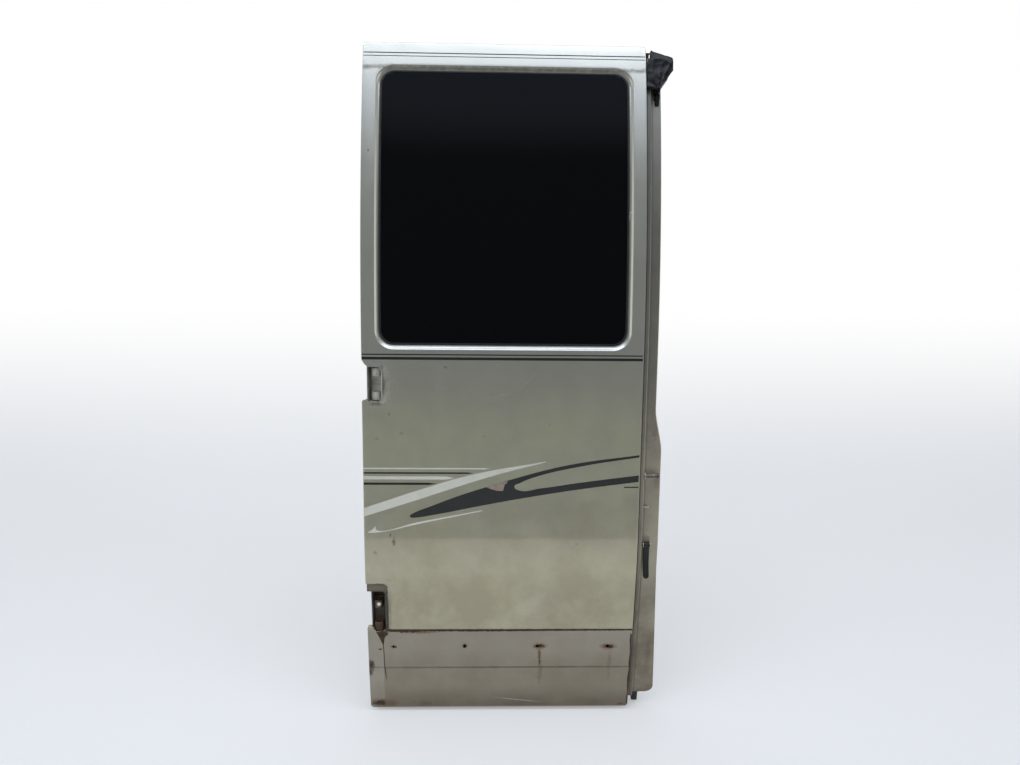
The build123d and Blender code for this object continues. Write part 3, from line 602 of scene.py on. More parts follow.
# Vinyl of the stripes: even charcoal and black, a shade duller than the lacquer, and a pale one that
# has yellowed a little.
CHARCOAL_VINYL = Finish("charcoal vinyl", Slot.FILM, "#232424", "#2A2B29", roughness=0.5, cloud_mm=70.0)
BLACK_VINYL = Finish("black vinyl", Slot.FILM, "#0F0F0E", "#191817", roughness=0.55, cloud_mm=40.0)
PALE_VINYL = Finish("pale vinyl", Slot.NYLON, "#DBD9CA", "#D1CFC0", roughness=0.42, metallic=0.1,
                    cloud_mm=60.0, speckle="#8D8B7F", speckle_mm=12.0)
# Glue and backing left where vinyl has torn off: a dull brown.
TORN_BACKING = Finish("torn adhesive", Slot.LINING, "#9B8D7C", "#87796A", roughness=0.8, cloud_mm=10.0)
# Dirt and rust packed in the seams: dark, crumbly and without shine.
SEAM_GRIME = Finish("packed grime", Slot.REPAIR, "#33271B", "#4A3824", roughness=0.9, cloud_mm=7.0,
                    grain_depth=0.3)


def linked(name: str, data: bpy.types.ID) -> bpy.types.Object:
    """New object of the scene.

    Args:
        name: Name of the object.
        data: Mesh, curve, light or camera that it shows.

    Returns:
        The object.
    """
    made = bpy.data.objects.new(name, data)
    bpy.context.scene.collection.objects.link(made)
    return made


def shaped(name: str, bm: Mesh, material: bpy.types.Material) -> bpy.types.Object:
    """Object of a bmesh, shaded smooth.

    Args:
        name: Name of the object and its mesh.
        bm: The mesh. It is freed.
        material: Its one material.

    Returns:
        The object.
    """
    mesh = bpy.data.meshes.new(name)
    bm.to_mesh(mesh)
    bm.free()
    mesh.shade_smooth()
    mesh.materials.append(material)
    return linked(name, mesh)


def new_piece(name: str, bm: Mesh, finish: Finish, body: Body = Body.LEAF, replaces: tuple[str, ...] = (),
              smooth: float = 35.0) -> bpy.types.Object:
    """Turns a bmesh into a finished piece that rides on a body.

    Args:
        name: Name of the piece.
        bm: The mesh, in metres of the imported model's frame. It is freed.
        finish: Finish of the piece.
        body: Body that the piece moves with.
        replaces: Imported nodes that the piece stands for.
        smooth: Angle in degrees over which an edge stays sharp.

    Returns:
        The piece's object.
    """
    piece = shaped(name, bm, finish.material())
    piece.data.set_sharp_from_angle(angle=math.radians(smooth))
    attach(piece, body.value)
    if replaces:
        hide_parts(*replaces)
    LOG.info("%s: %d faces on %s", name, len(piece.data.polygons), body.value)
    return piece


def ease(bm: Mesh, geom: list, width: float, segments: int, affect: Round, clamp: bool = False) -> None:
    """Rounds vertices or edges of a mesh.

    Args:
        bm: The mesh.
        geom: Vertices or edges to round.
        width: Width of the rounding.
        segments: Steps across it.
        affect: Whether vertices or edges are rounded.
        clamp: True where roundings that would meet are kept apart.
    """
    bmesh.ops.bevel(bm, geom=geom, offset=width, offset_type="OFFSET", segments=segments, profile=0.5,
                    affect=affect.value, clamp_overlap=clamp, material=-1)


def verts_of(geom: list) -> Verts:
    """The vertices among the elements that an operator made."""
    return [item for item in geom if isinstance(item, bmesh.types.BMVert)]


def draw_out(bm: Mesh, line: list[tuple[Triple, float]], steps: int, run: Triple) -> None:
    """Draws a cross-section and pulls it out into a sheet.

    Args:
        bm: The mesh to draw in, still empty.
        line: Points of the section in order, each with the radius that rounds it.
        steps: Edges in each rounded corner.
        run: Way from one end of the sheet to the other.
    """
    verts = [bm.verts.new(point) for point, _ in line]
    for near, far in zip(verts, verts[1:]):
        bm.edges.new((near, far))
    for vert, (_, radius) in zip(verts, line):
        if radius:
            ease(bm, [vert], radius, steps, Round.CORNERS)
    made = bmesh.ops.extrude_edge_only(bm, edges=bm.edges[:])["geom"]
    bmesh.ops.translate(bm, verts=verts_of(made), vec=run)


@dataclass(frozen=True)
class Corner:
    """Corner of an outline on the leaf's face, with the radius that rounds it."""

    x: float
    z: float
    radius: float = 0.0


@dataclass
class FlatWork:
    """Sheet metal drawn flat, as x, depth and z, and then laid on the leaf's curved side."""

    bm: Mesh = field(default_factory=bmesh.new)

    def outline(self, corners: list[Corner], depth: float = 0.0, steps: int = 6) -> Edges:
        """Closed outline through corners, drawn before any other face.

        Args:
            corners: Corners in order, counter-clockwise from outside.
            depth: Depth of the outline.
            steps: Edges in each rounded corner.

        Returns:
            The outline's edges.
        """
        known = set(self.bm.edges)
        verts = [self.bm.verts.new((c.x, depth, c.z)) for c in corners]
        self.bm.faces.new(verts)
        for vert, corner in zip(verts, corners):
            if corner.radius:
                ease(self.bm, [vert], corner.radius, steps, Round.CORNERS)
        bmesh.ops.delete(self.bm, geom=self.bm.faces[:], context="FACES_ONLY")
        return [edge for edge in self.bm.edges if edge not in known]

    def ring(self, low: Pair, high: Pair, radius: float, depth: float, steps: int = 8) -> Edges:
        """Rounded rectangle as a loop of edges.

        Args:
            low: Lower corner, as x and z.
            high: Upper corner, as x and z.
            radius: Radius of the corners.
            depth: Depth of the loop.
            steps: Points in each corner.

        Returns:
            The loop's edges.
        """
        turn = Matrix.Rotation(math.pi / 2, 4, "X") @ Matrix.Rotation(math.pi / (4 * steps), 4, "Z")
        verts = bmesh.ops.create_circle(self.bm, segments=4 * steps, radius=radius, matrix=turn)["verts"]
        moves = {}
        for vert in verts:
            x = high[0] - radius if vert.co.x > 0 else low[0] + radius
            z = high[1] - radius if vert.co.z > 0 else low[1] + radius
            moves.setdefault((x, z), []).append(vert)
        for (x, z), corner in moves.items():
            bmesh.ops.translate(self.bm, verts=corner, vec=(x, depth, z))
        return self.edges_at(verts)

    def disc(self, x: float, z: float, radius: float, depth: float, points: int = 14) -> Edges:
        """Loop of a round hole.

        Args:
            x: Distance of its middle from the hinge edge.
            z: Height of its middle.
            radius: Radius of the hole.
            depth: Depth of the loop.
            points: Points round the loop.

        Returns:
            The loop's edges.
        """
        turn = Matrix.Translation((x, depth, z)) @ Matrix.Rotation(math.pi / 2, 4, "X")
        made = bmesh.ops.create_circle(self.bm, segments=points, radius=radius, matrix=turn)
        return self.edges_at(made["verts"])

    def edges_at(self, verts: Verts) -> Edges:
        """Edges that end at these vertices, each once and in order."""
        return list(dict.fromkeys(edge for vert in verts for edge in vert.link_edges))

    def fill(self, edges: Edges) -> None:
        """Closes the flat region between loops."""
        bmesh.ops.triangle_fill(self.bm, use_beauty=True, use_dissolve=False, edges=edges, normal=(0, -1, 0))

    def bridge(self, loops: list[Edges]) -> None:
        """Joins each loop to the next one."""
        for near, far in zip(loops, loops[1:]):
            bmesh.ops.bridge_loops(self.bm, edges=near + far)

    def fold(self, edges: Edges, centre: Pair, half: Pair, steps: list[Triple]) -> Edges:
        """Turns an edge in or out in steps about a centre.

        Args:
            edges: Edges to fold on, at inset 0.
            centre: Middle of the outline, as x and z.
            half: Half of the outline's width and height.
            steps: Inset from the outline each way and depth of each new line of edges.

        Returns:
            The last line of edges.
        """
        past = (0.0, 0.0)
        middle = Matrix.Translation((-centre[0], 0, -centre[1]))
        for inset_x, inset_z, depth in steps:
            made = bmesh.ops.extrude_edge_only(self.bm, edges=edges)["geom"]
            verts = verts_of(made)
            fresh = set(verts)
            edges = [g for g in made if isinstance(g, bmesh.types.BMEdge) and fresh.issuperset(g.verts)]
            across = (half[0] - inset_x) / (half[0] - past[0])
            upwards = (half[1] - inset_z) / (half[1] - past[1])
            bmesh.ops.scale(self.bm, vec=(across, 1.0, upwards), space=middle, verts=verts)
            for vert in verts:
                vert.co.y = depth
            past = (inset_x, inset_z)
        return edges

    def cut(self, point: Triple, normal: Triple) -> None:
        """Cuts the sheet along a plane."""
        geom = self.bm.verts[:] + self.bm.edges[:] + self.bm.faces[:]
        bmesh.ops.bisect_plane(self.bm, geom=geom, dist=WELD / 100, plane_co=point, plane_no=normal)

    def slices(self, step_x: float = 24.0, step_z: float = 15.0, step_curve: float = 7.0) -> None:
        """Cuts the sheet finely enough to follow the leaf's side profile.

        Args:
            step_x: Width of the strips.
            step_z: Height of the strips where the side is straight.
            step_curve: Height of the strips where it bends.
        """
        xs = [vert.co.x for vert in self.bm.verts]
        zs = [vert.co.z for vert in self.bm.verts]
        at = math.floor(min(xs) / step_x) * step_x
        while at < max(xs):
            self.cut((at, 0, 0), (1, 0, 0))
            at += step_x
        at = math.floor(min(zs) / step_z) * step_z
        heights = []
        while at < max(zs):
            heights.append(at)
            bent = at > LEAF.belt or LEAF.bend_foot - step_z < at < LEAF.bend_top
            at += step_curve if bent else step_z
        for height in heights + [LEAF.tuck_top, LEAF.bend_foot, LEAF.bend_top, LEAF.belt]:
            self.cut((0, 0, height), (0, 0, 1))

    def slab(self, thickness: float) -> None:
        """Pulls the flat sheet out into a closed slab."""
        made = bmesh.ops.extrude_face_region(self.bm, geom=self.bm.faces[:])["geom"]
        bmesh.ops.translate(self.bm, verts=verts_of(made), vec=(0, thickness, 0))

    def lay(self, thickness: float = 0.0, waves: bool = True) -> Mesh:
        """Lays the flat sheet on the curved side and gives it its thickness.

        Args:
            thickness: Thickness added behind the sheet, if any.
            waves: True where the sheet follows the old skin's unevenness.

        Returns:
            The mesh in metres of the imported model's frame.
        """
        bmesh.ops.remove_doubles(self.bm, verts=self.bm.verts[:], dist=WELD)
        bmesh.ops.recalc_face_normals(self.bm, faces=self.bm.faces[:])
        forward = sum(face.normal.y * face.calc_area() for face in self.bm.faces)
        if forward > 0 and thickness:
            bmesh.ops.reverse_faces(self.bm, faces=self.bm.faces[:])
        for vert in self.bm.verts:
            swell = LEAF.wave(vert.co.x, vert.co.z) if waves else 0.0
            vert.co = LEAF.place(vert.co.x, vert.co.y + swell, vert.co.z)
        self.bm.normal_update()
        if thickness:
            self.thicken(thickness)
        return self.bm

    def thicken(self, thickness: float) -> None:
        """Adds a wall behind the sheet, and keeps its tight folds behind the leaf's front.

        Args:
            thickness: Thickness of the wall.
        """
        bmesh.ops.solidify(self.bm, geom=self.bm.faces[:], thickness=thickness * MM)
        for vert in self.bm.verts:
            vert.co.y = max(vert.co.y, LEAF.corner().y)


@dataclass(frozen=True)
class Pocket:
    """Dished opening in the skin's hinge edge: its brow on the face and its mouth at the pan.

    The head and the foot are the corners by which the leaf's edge runs into the brow. The dish
    is the way from brow to mouth, as share of the inset and depth.
    """

    head: tuple[Corner, ...]
    foot: tuple[Corner, ...]
    brow_low: float
    brow_high: float
    brow_right: float
    brow_radius: float
    low: float
    high: float
    right: float
    dish: tuple[Pair, ...]
    still_x: float = 0.0
    margin: float = 1.0

    def corners(self) -> list[Corner]:
        """The opening's corners, from its upper end down."""
        brow = [Corner(self.brow_right, z, self.brow_radius) for z in (self.brow_high, self.brow_low)]
        return [*self.head, *brow, *self.foot]

    def middle(self) -> float:
        """Middle from which the brow shrinks to the mouth.

        Returns:
            The height that stays where it is.
        """
        top = self.brow_high - self.high
        foot = self.low - self.brow_low
        return (self.brow_high * foot + self.brow_low * top) / (foot + top)

    def steps(self) -> list[Triple]:
        """Insets and depths from the brow down to the mouth."""
        return [(share * (self.brow_right - self.right), share * (self.brow_high - self.high), depth)
                for share, depth in self.dish]

    def owns(self, x: float, z: float) -> bool:
        """True for a point of the opening's outline."""
        beside = LEAF.hem_rounding + WELD < x < self.brow_right + self.margin
        return beside and self.brow_low - self.margin < z < self.head[0].z + self.margin


UPPER_POCKET = Pocket(
    head=(Corner(LEAF.hem_rounding, 826.0, 6.0), Corner(11.0, 814.0, 6.0)),
    foot=(Corner(15.0, 734.5, 4.0), Corner(9.0, 742.0, 3.0), Corner(LEAF.hem_rounding, 742.0, 3.0)),
    brow_low=734.5, brow_high=814.0, brow_right=64.0, brow_radius=20.0, low=736.0, high=812.5, right=41.5,
    dish=((0.2, 0.3), (0.4, 1.2), (0.6, 2.7), (0.8, 4.6), (0.95, 6.2), (1.0, 7.4)), still_x=13.0)
LOWER_POCKET = Pocket(
    head=(Corner(LEAF.hem_rounding, 324.0, 3.0),),
    foot=(Corner(20.0, 203.0, 3.0), Corner(14.5, 216.0, 4.0), Corner(LEAF.hem_rounding, 217.0, 4.0)),
    brow_low=203.0, brow_high=324.0, brow_right=51.0, brow_radius=12.5, low=205.5, high=320.5, right=46.5,
    dish=((0.15, 0.25), (0.4, 1.0), (0.8, 3.6), (1.0, 6.2)))


@dataclass
class OuterSkin:
    """Outer pressing: hemmed edges, window rim and hinge openings."""

    thickness: float = 1.1
    hem_width: float = 9.0
    hem_depth: float = 2.5
    corner_radius: float = 8.0
    window_low: Pair = (39.0, 862.0)
    window_high: Pair = (568.0, 1440.0)
    window_radius: float = 30.0
    flange: float = 12.0
    rim: tuple[Pair, ...] = (
        (12.5, 0.0), (11.4, 0.15), (10.4, 0.6), (9.5, 1.4), (6.6, 4.3), (5.7, 5.0), (4.7, 5.5), (0.5, 7.3),
        (0.0, 7.8), (0.0, 10.4))
    pockets: tuple[Pocket, ...] = (UPPER_POCKET, LOWER_POCKET)
    hole_radius: float = 4.0

    def outline(self) -> list[Corner]:
        """Outline of the skin's flat face, inside the rounding of its hem.

        Returns:
            The corners in order.
        """
        left = foot = LEAF.hem_rounding
        right = LEAF.width - LEAF.hem_rounding
        top = LEAF.height - LEAF.hem_rounding
        corners = [Corner(x, z, self.corner_radius)
                   for x, z in ((left, foot), (right, foot), (right, top), (left, top))]
        return corners + [corner for pocket in self.pockets for corner in pocket.corners()]

    def rim_loops(self, work: FlatWork) -> list[Edges]:
        """Draws the window rim from its brow down to the flange under the pane.

        Args:
            work: The sheet to draw in.

        Returns:
            The rim's loops in order.
        """
        loops = []
        for out, depth in self.rim + ((-self.flange, self.rim[-1][1]),):
            low = (self.window_low[0] - out, self.window_low[1] - out)
            high = (self.window_high[0] + out, self.window_high[1] + out)
            loops.append(work.ring(low, high, self.window_radius + max(out, -self.flange / 2), depth))
        return loops

    def hem_steps(self) -> list[Triple]:
        """Way from the face round the hem to its inner edge.

        Returns:
            Inset each way and depth of each line of edges.
        """
        out = LEAF.hem_rounding
        half = self.hem_depth / 2
        line = [(-out * HALFWAY, half * (1 - HALFWAY)), (-out, half), (-out * HALFWAY, half * (1 + HALFWAY)),
                (0.0, self.hem_depth), (self.hem_width - out, self.hem_depth)]
        return [(inset, inset, depth) for inset, depth in line]

    def build(self) -> None:
        """Models the pressing."""
        work = FlatWork()
        outline = work.outline(self.outline())
        loops = self.rim_loops(work)
        holes = [work.disc(x, LEAF.trim_hole_z, self.hole_radius, 0.0) for x in LEAF.trim_holes]
        work.fill(outline + loops[0] + sum(holes, []))
        work.bridge(loops)
        sides, lips = [], {pocket: [] for pocket in self.pockets}
        for line in outline:
            x, _, z = (line.verts[0].co + line.verts[1].co) / 2
            owner = next((pocket for pocket in self.pockets if pocket.owns(x, z)), None)
            lips.get(owner, sides).append(line)
        centre = (LEAF.width / 2, LEAF.height / 2)
        flat_half = (centre[0] - LEAF.hem_rounding, centre[1] - LEAF.hem_rounding)
        work.fold(sides, centre, flat_half, self.hem_steps())
        for pocket, edges in lips.items():
            middle = pocket.middle()
            half = (pocket.brow_right - pocket.still_x, pocket.brow_high - middle)
            work.fold(edges, (pocket.still_x, middle), half, pocket.steps())
        work.slices()
        new_piece("outer_skin_pressing", work.lay(self.thickness), SILVER_LACQUER, replaces=("outer_skin",))


def sharp(*points: Pair) -> Outline:
    """Stretch of an outline with a corner at each point."""
    return tuple((x, z, False) for x, z in points)


def soft(*points: Pair) -> Outline:
    """Stretch of an outline that runs smoothly through its points."""
    return tuple((x, z, True) for x, z in points)


def lay_flat(name: str, finish: Finish, corners: Outline, lift: float, thickness: float) -> None:
    """Cuts a flat shape from thin stuff and lays it on the skin.

    Args:
        name: Name of the piece.
        finish: Finish of the piece.
        corners: Outline points as x, z and whether the outline runs smoothly through them.
        lift: Depth of its outer face.
        thickness: Thickness behind that face.
    """
    curve = bpy.data.curves.new(name, "CURVE")
    curve.dimensions = "2D"
    curve.fill_mode = "BOTH"
    curve.resolution_u = CURVE_STEPS
    spline = curve.splines.new("BEZIER")
    spline.bezier_points.add(len(corners) - 1)
    spline.use_cyclic_u = True
    for point, (x, z, smooth) in zip(spline.bezier_points, corners):
        point.co = (x, z, 0.0)
        point.handle_left_type = point.handle_right_type = "AUTO" if smooth else "VECTOR"
    holder = linked(name, curve)
    flat = bpy.data.meshes.new_from_object(holder.evaluated_get(bpy.context.evaluated_depsgraph_get()))
    bpy.data.objects.remove(holder)
    bpy.data.curves.remove(curve)
    work = FlatWork()
    work.bm.from_mesh(flat)
    bpy.data.meshes.remove(flat)
    for vert in work.bm.verts:
        vert.co = Vector((vert.co.x, lift, vert.co.y))
    work.slices(step_z=12.0)
    work.slab(thickness)
    new_piece(name, work.lay(), finish)


@dataclass
class RepairPanel:
    """Sheet laid over the rotten foot of the skin, with four rusted holes and grime in its seams."""

    left: float = 34.0
    right: float = 604.0
    foot: float = 3.0
    top: float = 207.0
    proud: float = 1.0
    behind: float = 0.3
    rounding: float = 0.8
    rounding_depth: float = 0.25
    foot_radius: float = 2.0
    corner_radius: float = 3.0
    cut_x: float = 52.0
    cut_x_radius: float = 6.0
    cut_bend: Corner = Corner(37.0, 176.0, 8.0)
    cut_z: float = 160.0
    cut_z_radius: float = 4.0
    hole_radii: tuple[float, ...] = (3.6, 4.4, 4.4, 4.4)
    hole_ease: float = 0.3
    hole_ease_depth: float = 0.2
    hole_taper: float = 0.4

    def outline(self) -> list[Corner]:
        """Outline of the sheet's flat face, with one corner cut off by the hinge.

        Returns:
            The corners in order.
        """
        left, right = self.left + self.rounding, self.right - self.rounding
        foot, top = self.foot + self.rounding, self.top - self.rounding
        return [Corner(left, foot, self.foot_radius), Corner(right, foot, self.corner_radius),
                Corner(right, top, self.corner_radius), Corner(self.cut_x, top, self.cut_x_radius),
                self.cut_bend, Corner(left, self.cut_z, self.cut_z_radius)]

    def build(self) -> None:
        """Models the sheet and the grime in its seams."""
        work = FlatWork()
        out, front = -self.rounding, -self.proud
        outline = work.outline(self.outline(), front)
        holes = [(x, radius, work.disc(x, LEAF.trim_hole_z, radius, front))
                 for x, radius in zip(LEAF.trim_holes, self.hole_radii)]
        work.fill(outline + [edge for _, _, loop in holes for edge in loop])
        middle = ((self.left + self.right) / 2, (self.foot + self.top) / 2)
        half = ((self.right - self.left) / 2 + out, (self.top - self.foot) / 2 + out)
        edge = [(out * HALFWAY, front + self.rounding_depth), (out, front - out), (out, self.behind)]
        back = work.fold(outline, middle, half, [(inset, inset, depth) for inset, depth in edge])
        steps = [(self.hole_ease, self.hole_ease, front + self.hole_ease_depth),
                 (self.hole_taper, self.hole_taper, self.behind)]
        for x, radius, loop in holes:
            back += work.fold(loop, (x, LEAF.trim_hole_z), (radius, radius), steps)
        work.fill(back)
        work.slices()
        new_piece("repair_sheet", work.lay(), REPAIR_PAINT, replaces=("lower_repair_panel",))
        SeamGrime(self.top, self.right).build()


@dataclass
class SeamGrime:
    """Grime packed along the repair sheet's upper edge, in the crack by the hinge and down its right edge."""

    top: float
    right: float
    left: float = 43.0
    left_edge: Pair = (-1.6, 1.8)
    right_edge: Pair = (-1.0, 1.4)
    overhang: float = 1.0
    lift: float = -1.15
    depth: float = 1.6
    crack_lift: float = -1.35
    crack_depth: float = 1.4
    edge_depth: float = 1.3
    strip: float = 2.2
    rag: float = 5.0
    rag_low: float = 1.2
    rag_high: float = 0.7
    sag: float = 0.6
    chips: tuple[Triple, ...] = ((86.0, 42.0, 1.0), (260.0, 110.0, 0.4))
    chip_depth: float = 5.0
    chip_ripple: float = 9.0
    chip_rest: float = 0.6
    crack: Outline = (
        (20.0, 203.0, False), (46.0, 205.5, False), (41.0, 197.0, False), (40.5, 191.0, False),
        (37.5, 186.0, False), (37.0, 178.0, False), (35.6, 172.0, False), (36.6, 150.0, True),
        (36.8, 118.0, False), (39.0, 100.0, True), (40.0, 74.0, False), (37.0, 96.0, True),
        (35.2, 118.0, False), (35.0, 150.0, True), (33.6, 171.0, False), (27.0, 188.0, False))
    edge: Outline = sharp(
        (601.8, 200.0), (604.8, 194.0), (605.2, 120.0), (605.0, 55.0), (603.6, 6.0), (600.6, 10.0),
        (602.4, 40.0), (600.4, 78.0), (602.6, 104.0), (601.2, 118.0), (602.8, 150.0), (600.6, 180.0))

    def chipped(self, x: float) -> float:
        """How much of the sheet's edge has rusted away at a place along it."""
        share = sum(part * max(0.0, 1.0 - abs(x - middle) / half) for middle, half, part in self.chips)
        return share * max(0.0, self.chip_rest + noise.noise(Vector((x / self.chip_ripple, 8.0, 0.0))))

    def build(self) -> None:
        """Models the ragged strip, the crack and the edge."""
        work = FlatWork()
        ends = ((self.left, self.left_edge), (self.right + self.overhang, self.right_edge))
        low = [Corner(x, self.top + edge[0]) for x, edge in ends]
        high = [Corner(x, self.top + edge[1]) for x, edge in reversed(ends)]
        work.fill(work.outline(low + high, self.lift))
        work.slices(self.strip)
        for vert in work.bm.verts:
            x, _, z = vert.co
            ragged = noise.noise(Vector((x / self.rag, 3.0, z)))
            if z < self.top:
                vert.co.z += self.rag_low * ragged - self.sag - self.chip_depth * self.chipped(x)
            else:
                vert.co.z += self.rag_high * ragged
        work.slab(self.depth)
        new_piece("seam_grime", work.lay(), SEAM_GRIME)
        lay_flat("corner_crack", SEAM_GRIME, self.crack, self.crack_lift, self.crack_depth)
        lay_flat("edge_grime", SEAM_GRIME, self.edge, self.lift, self.edge_depth)


def refined(node: str, finish: Finish, rounding: float, body: Body = Body.LEAF) -> bpy.types.Object:
    """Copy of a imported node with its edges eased, in a real finish.

    Args:
        node: Name of the node, which the copy replaces.
        finish: Finish of the copy.
        rounding: Width of the eased edge.
        body: Body that the node moves with.

    Returns:
        The piece.
    """
    bm = bmesh.new()
    bm.from_mesh(bpy.data.objects[node].data)
    bmesh.ops.remove_doubles(bm, verts=bm.verts[:], dist=PACKED_WELD)
    bmesh.ops.dissolve_limit(bm, angle_limit=math.radians(FLAT_ANGLE), verts=bm.verts[:], edges=bm.edges[:])
    limit = math.radians(EDGE_ANGLE)
    edges = [edge for edge in bm.edges if edge.is_manifold and edge.calc_face_angle() > limit]
    ease(bm, edges, rounding * MM, 2, Round.EDGES, clamp=True)
    bmesh.ops.dissolve_degenerate(bm, dist=PACKED_WELD, edges=bm.edges[:])
    return new_piece(node + "_finished", bm, finish, body, (node,))


@dataclass
class Window:
    """Fixed pane of dark glass in its rubber seal."""

    low: Pair = (42.2, 865.2)
    high: Pair = (564.8, 1436.8)
    radius: float = 28.4
    front: float = 4.4
    thickness: float = 4.0
    rounding: float = 0.4
    halfway: float = 0.1
    seal_rounding: float = 0.3

    def build(self) -> None:
        """Models the pane and the seal."""
        work = FlatWork()
        loops = []
        front, back = self.front, self.front + self.thickness
        profile = ((self.rounding, front), (self.halfway, front + self.halfway), (0.0, front + self.rounding),
                   (0.0, back - self.rounding), (self.rounding, back))
        for inset, depth in profile:
            low = (self.low[0] + inset, self.low[1] + inset)
            high = (self.high[0] - inset, self.high[1] - inset)
            loops.append(work.ring(low, high, self.radius - inset, depth))
        work.bridge(loops)
        work.fill(loops[0])
        work.fill(loops[-1])
        work.slices(40.0)
        new_piece("window_pane", work.lay(waves=False), PRIVACY_GLASS, replaces=("window_glass",))
        refined("window_seal", RUBBER, self.seal_rounding)


@dataclass(frozen=True)
class Stripe:
    """Straight vinyl stripe, pointed at its right end where it has a point."""

    name: str
    finish: Finish
    middle: float
    width: float
    left: float = LEAF.hem_rounding
    right: float = LEAF.width - 2.5
    point: float = 0.0

    def outline(self) -> Outline:
        """Outline of the stripe.

        Returns:
            Its corners in order.
        """
        low, high = self.middle - self.width / 2, self.middle + self.width / 2
        shoulder = self.right - self.point
        tip = ((self.right, self.middle),) if self.point else ()
        return sharp((self.left, low), (self.left, high), (shoulder, high), *tip, (shoulder, low))


@dataclass
class Livery:
    """Stripes and the plain two-tone swoosh, cut from thin vinyl."""

    lift: float = -0.13
    thickness: float = 0.25
    overlap: float = 0.04
    stripes: tuple[Stripe, ...] = (
        Stripe("belt_line_thin", BLACK_VINYL, 840.4, 2.6),
        Stripe("belt_line_thick", BLACK_VINYL, 832.1, 5.8),
        Stripe("top_line_dark", BLACK_VINYL, 1477.6, 2.2),
        Stripe("top_line_grey", CHARCOAL_VINYL, 1470.6, 1.6),
        Stripe("side_line_upper", BLACK_VINYL, 581.0, 3.4, right=241.0, point=14.0),
        Stripe("side_line_lower", BLACK_VINYL, 557.0, 5.0, right=161.0, point=20.0),
        Stripe("pale_line_upper", PALE_VINYL, 591.0, 3.0, right=278.0, point=14.0),
        Stripe("pale_line_middle", PALE_VINYL, 570.0, 7.0, right=200.0, point=20.0),
        Stripe("side_dash", BLACK_VINYL, 550.0, 2.6, left=571.0),
    )
    charcoal_swoosh: Outline = (
        soft((100.8, 484.0), (106.0, 489.0), (150.0, 507.5), (200.0, 527.0), (259.0, 547.0), (318.0, 565.5),
             (445.0, 599.0))
        + sharp((603.4, 622.5), (603.4, 617.5))
        + soft((480.0, 597.5), (378.0, 573.5), (342.0, 559.0), (330.0, 551.0), (337.0, 543.5), (390.0, 547.5),
               (470.0, 559.5))
        + sharp((603.4, 577.0), (603.4, 562.3))
        + soft((470.0, 544.5), (350.0, 525.0), (259.0, 508.0), (160.0, 488.0),
               (112.0, 480.5), (103.5, 480.8)))
    pale_swoosh: Outline = (
        sharp((LEAF.hem_rounding, 502.0)) + soft((112.6, 540.0), (235.0, 577.0))
        + sharp((399.0, 607.5), (397.0, 605.5)) + soft((300.0, 580.0), (235.0, 560.0), (112.6, 519.0))
        + sharp((LEAF.hem_rounding, 483.0)))
    pale_tick: Outline = (
        sharp((7.0, 446.0)) + soft((20.0, 455.0)) + sharp((25.5, 462.0)) + soft((27.0, 452.5), (120.0, 470.5))
        + sharp((259.0, 497.5), (259.0, 495.5)) + soft((120.0, 466.0), (30.0, 446.5)))
    torn_patch: Outline = sharp(
        (267.0, 550.0), (290.0, 557.5), (316.0, 566.0), (313.0, 558.0), (309.0, 556.0), (305.0, 541.0),
        (292.0, 541.5), (280.0, 545.0))

    def build(self) -> None:
        """Cuts every stripe and both swooshes, and lays the torn patch over one of them."""
        for stripe in self.stripes:
            lay_flat(stripe.name, stripe.finish, stripe.outline(), self.lift, self.thickness)
        lay_flat("charcoal_swoosh", CHARCOAL_VINYL, self.charcoal_swoosh, self.lift, self.thickness)
        lay_flat("pale_swoosh", PALE_VINYL, self.pale_swoosh, self.lift, self.thickness)
        lay_flat("pale_tick", PALE_VINYL, self.pale_tick, self.lift, self.thickness)
        lay_flat("torn_patch", TORN_BACKING, self.torn_patch, self.lift - self.overlap, self.thickness)


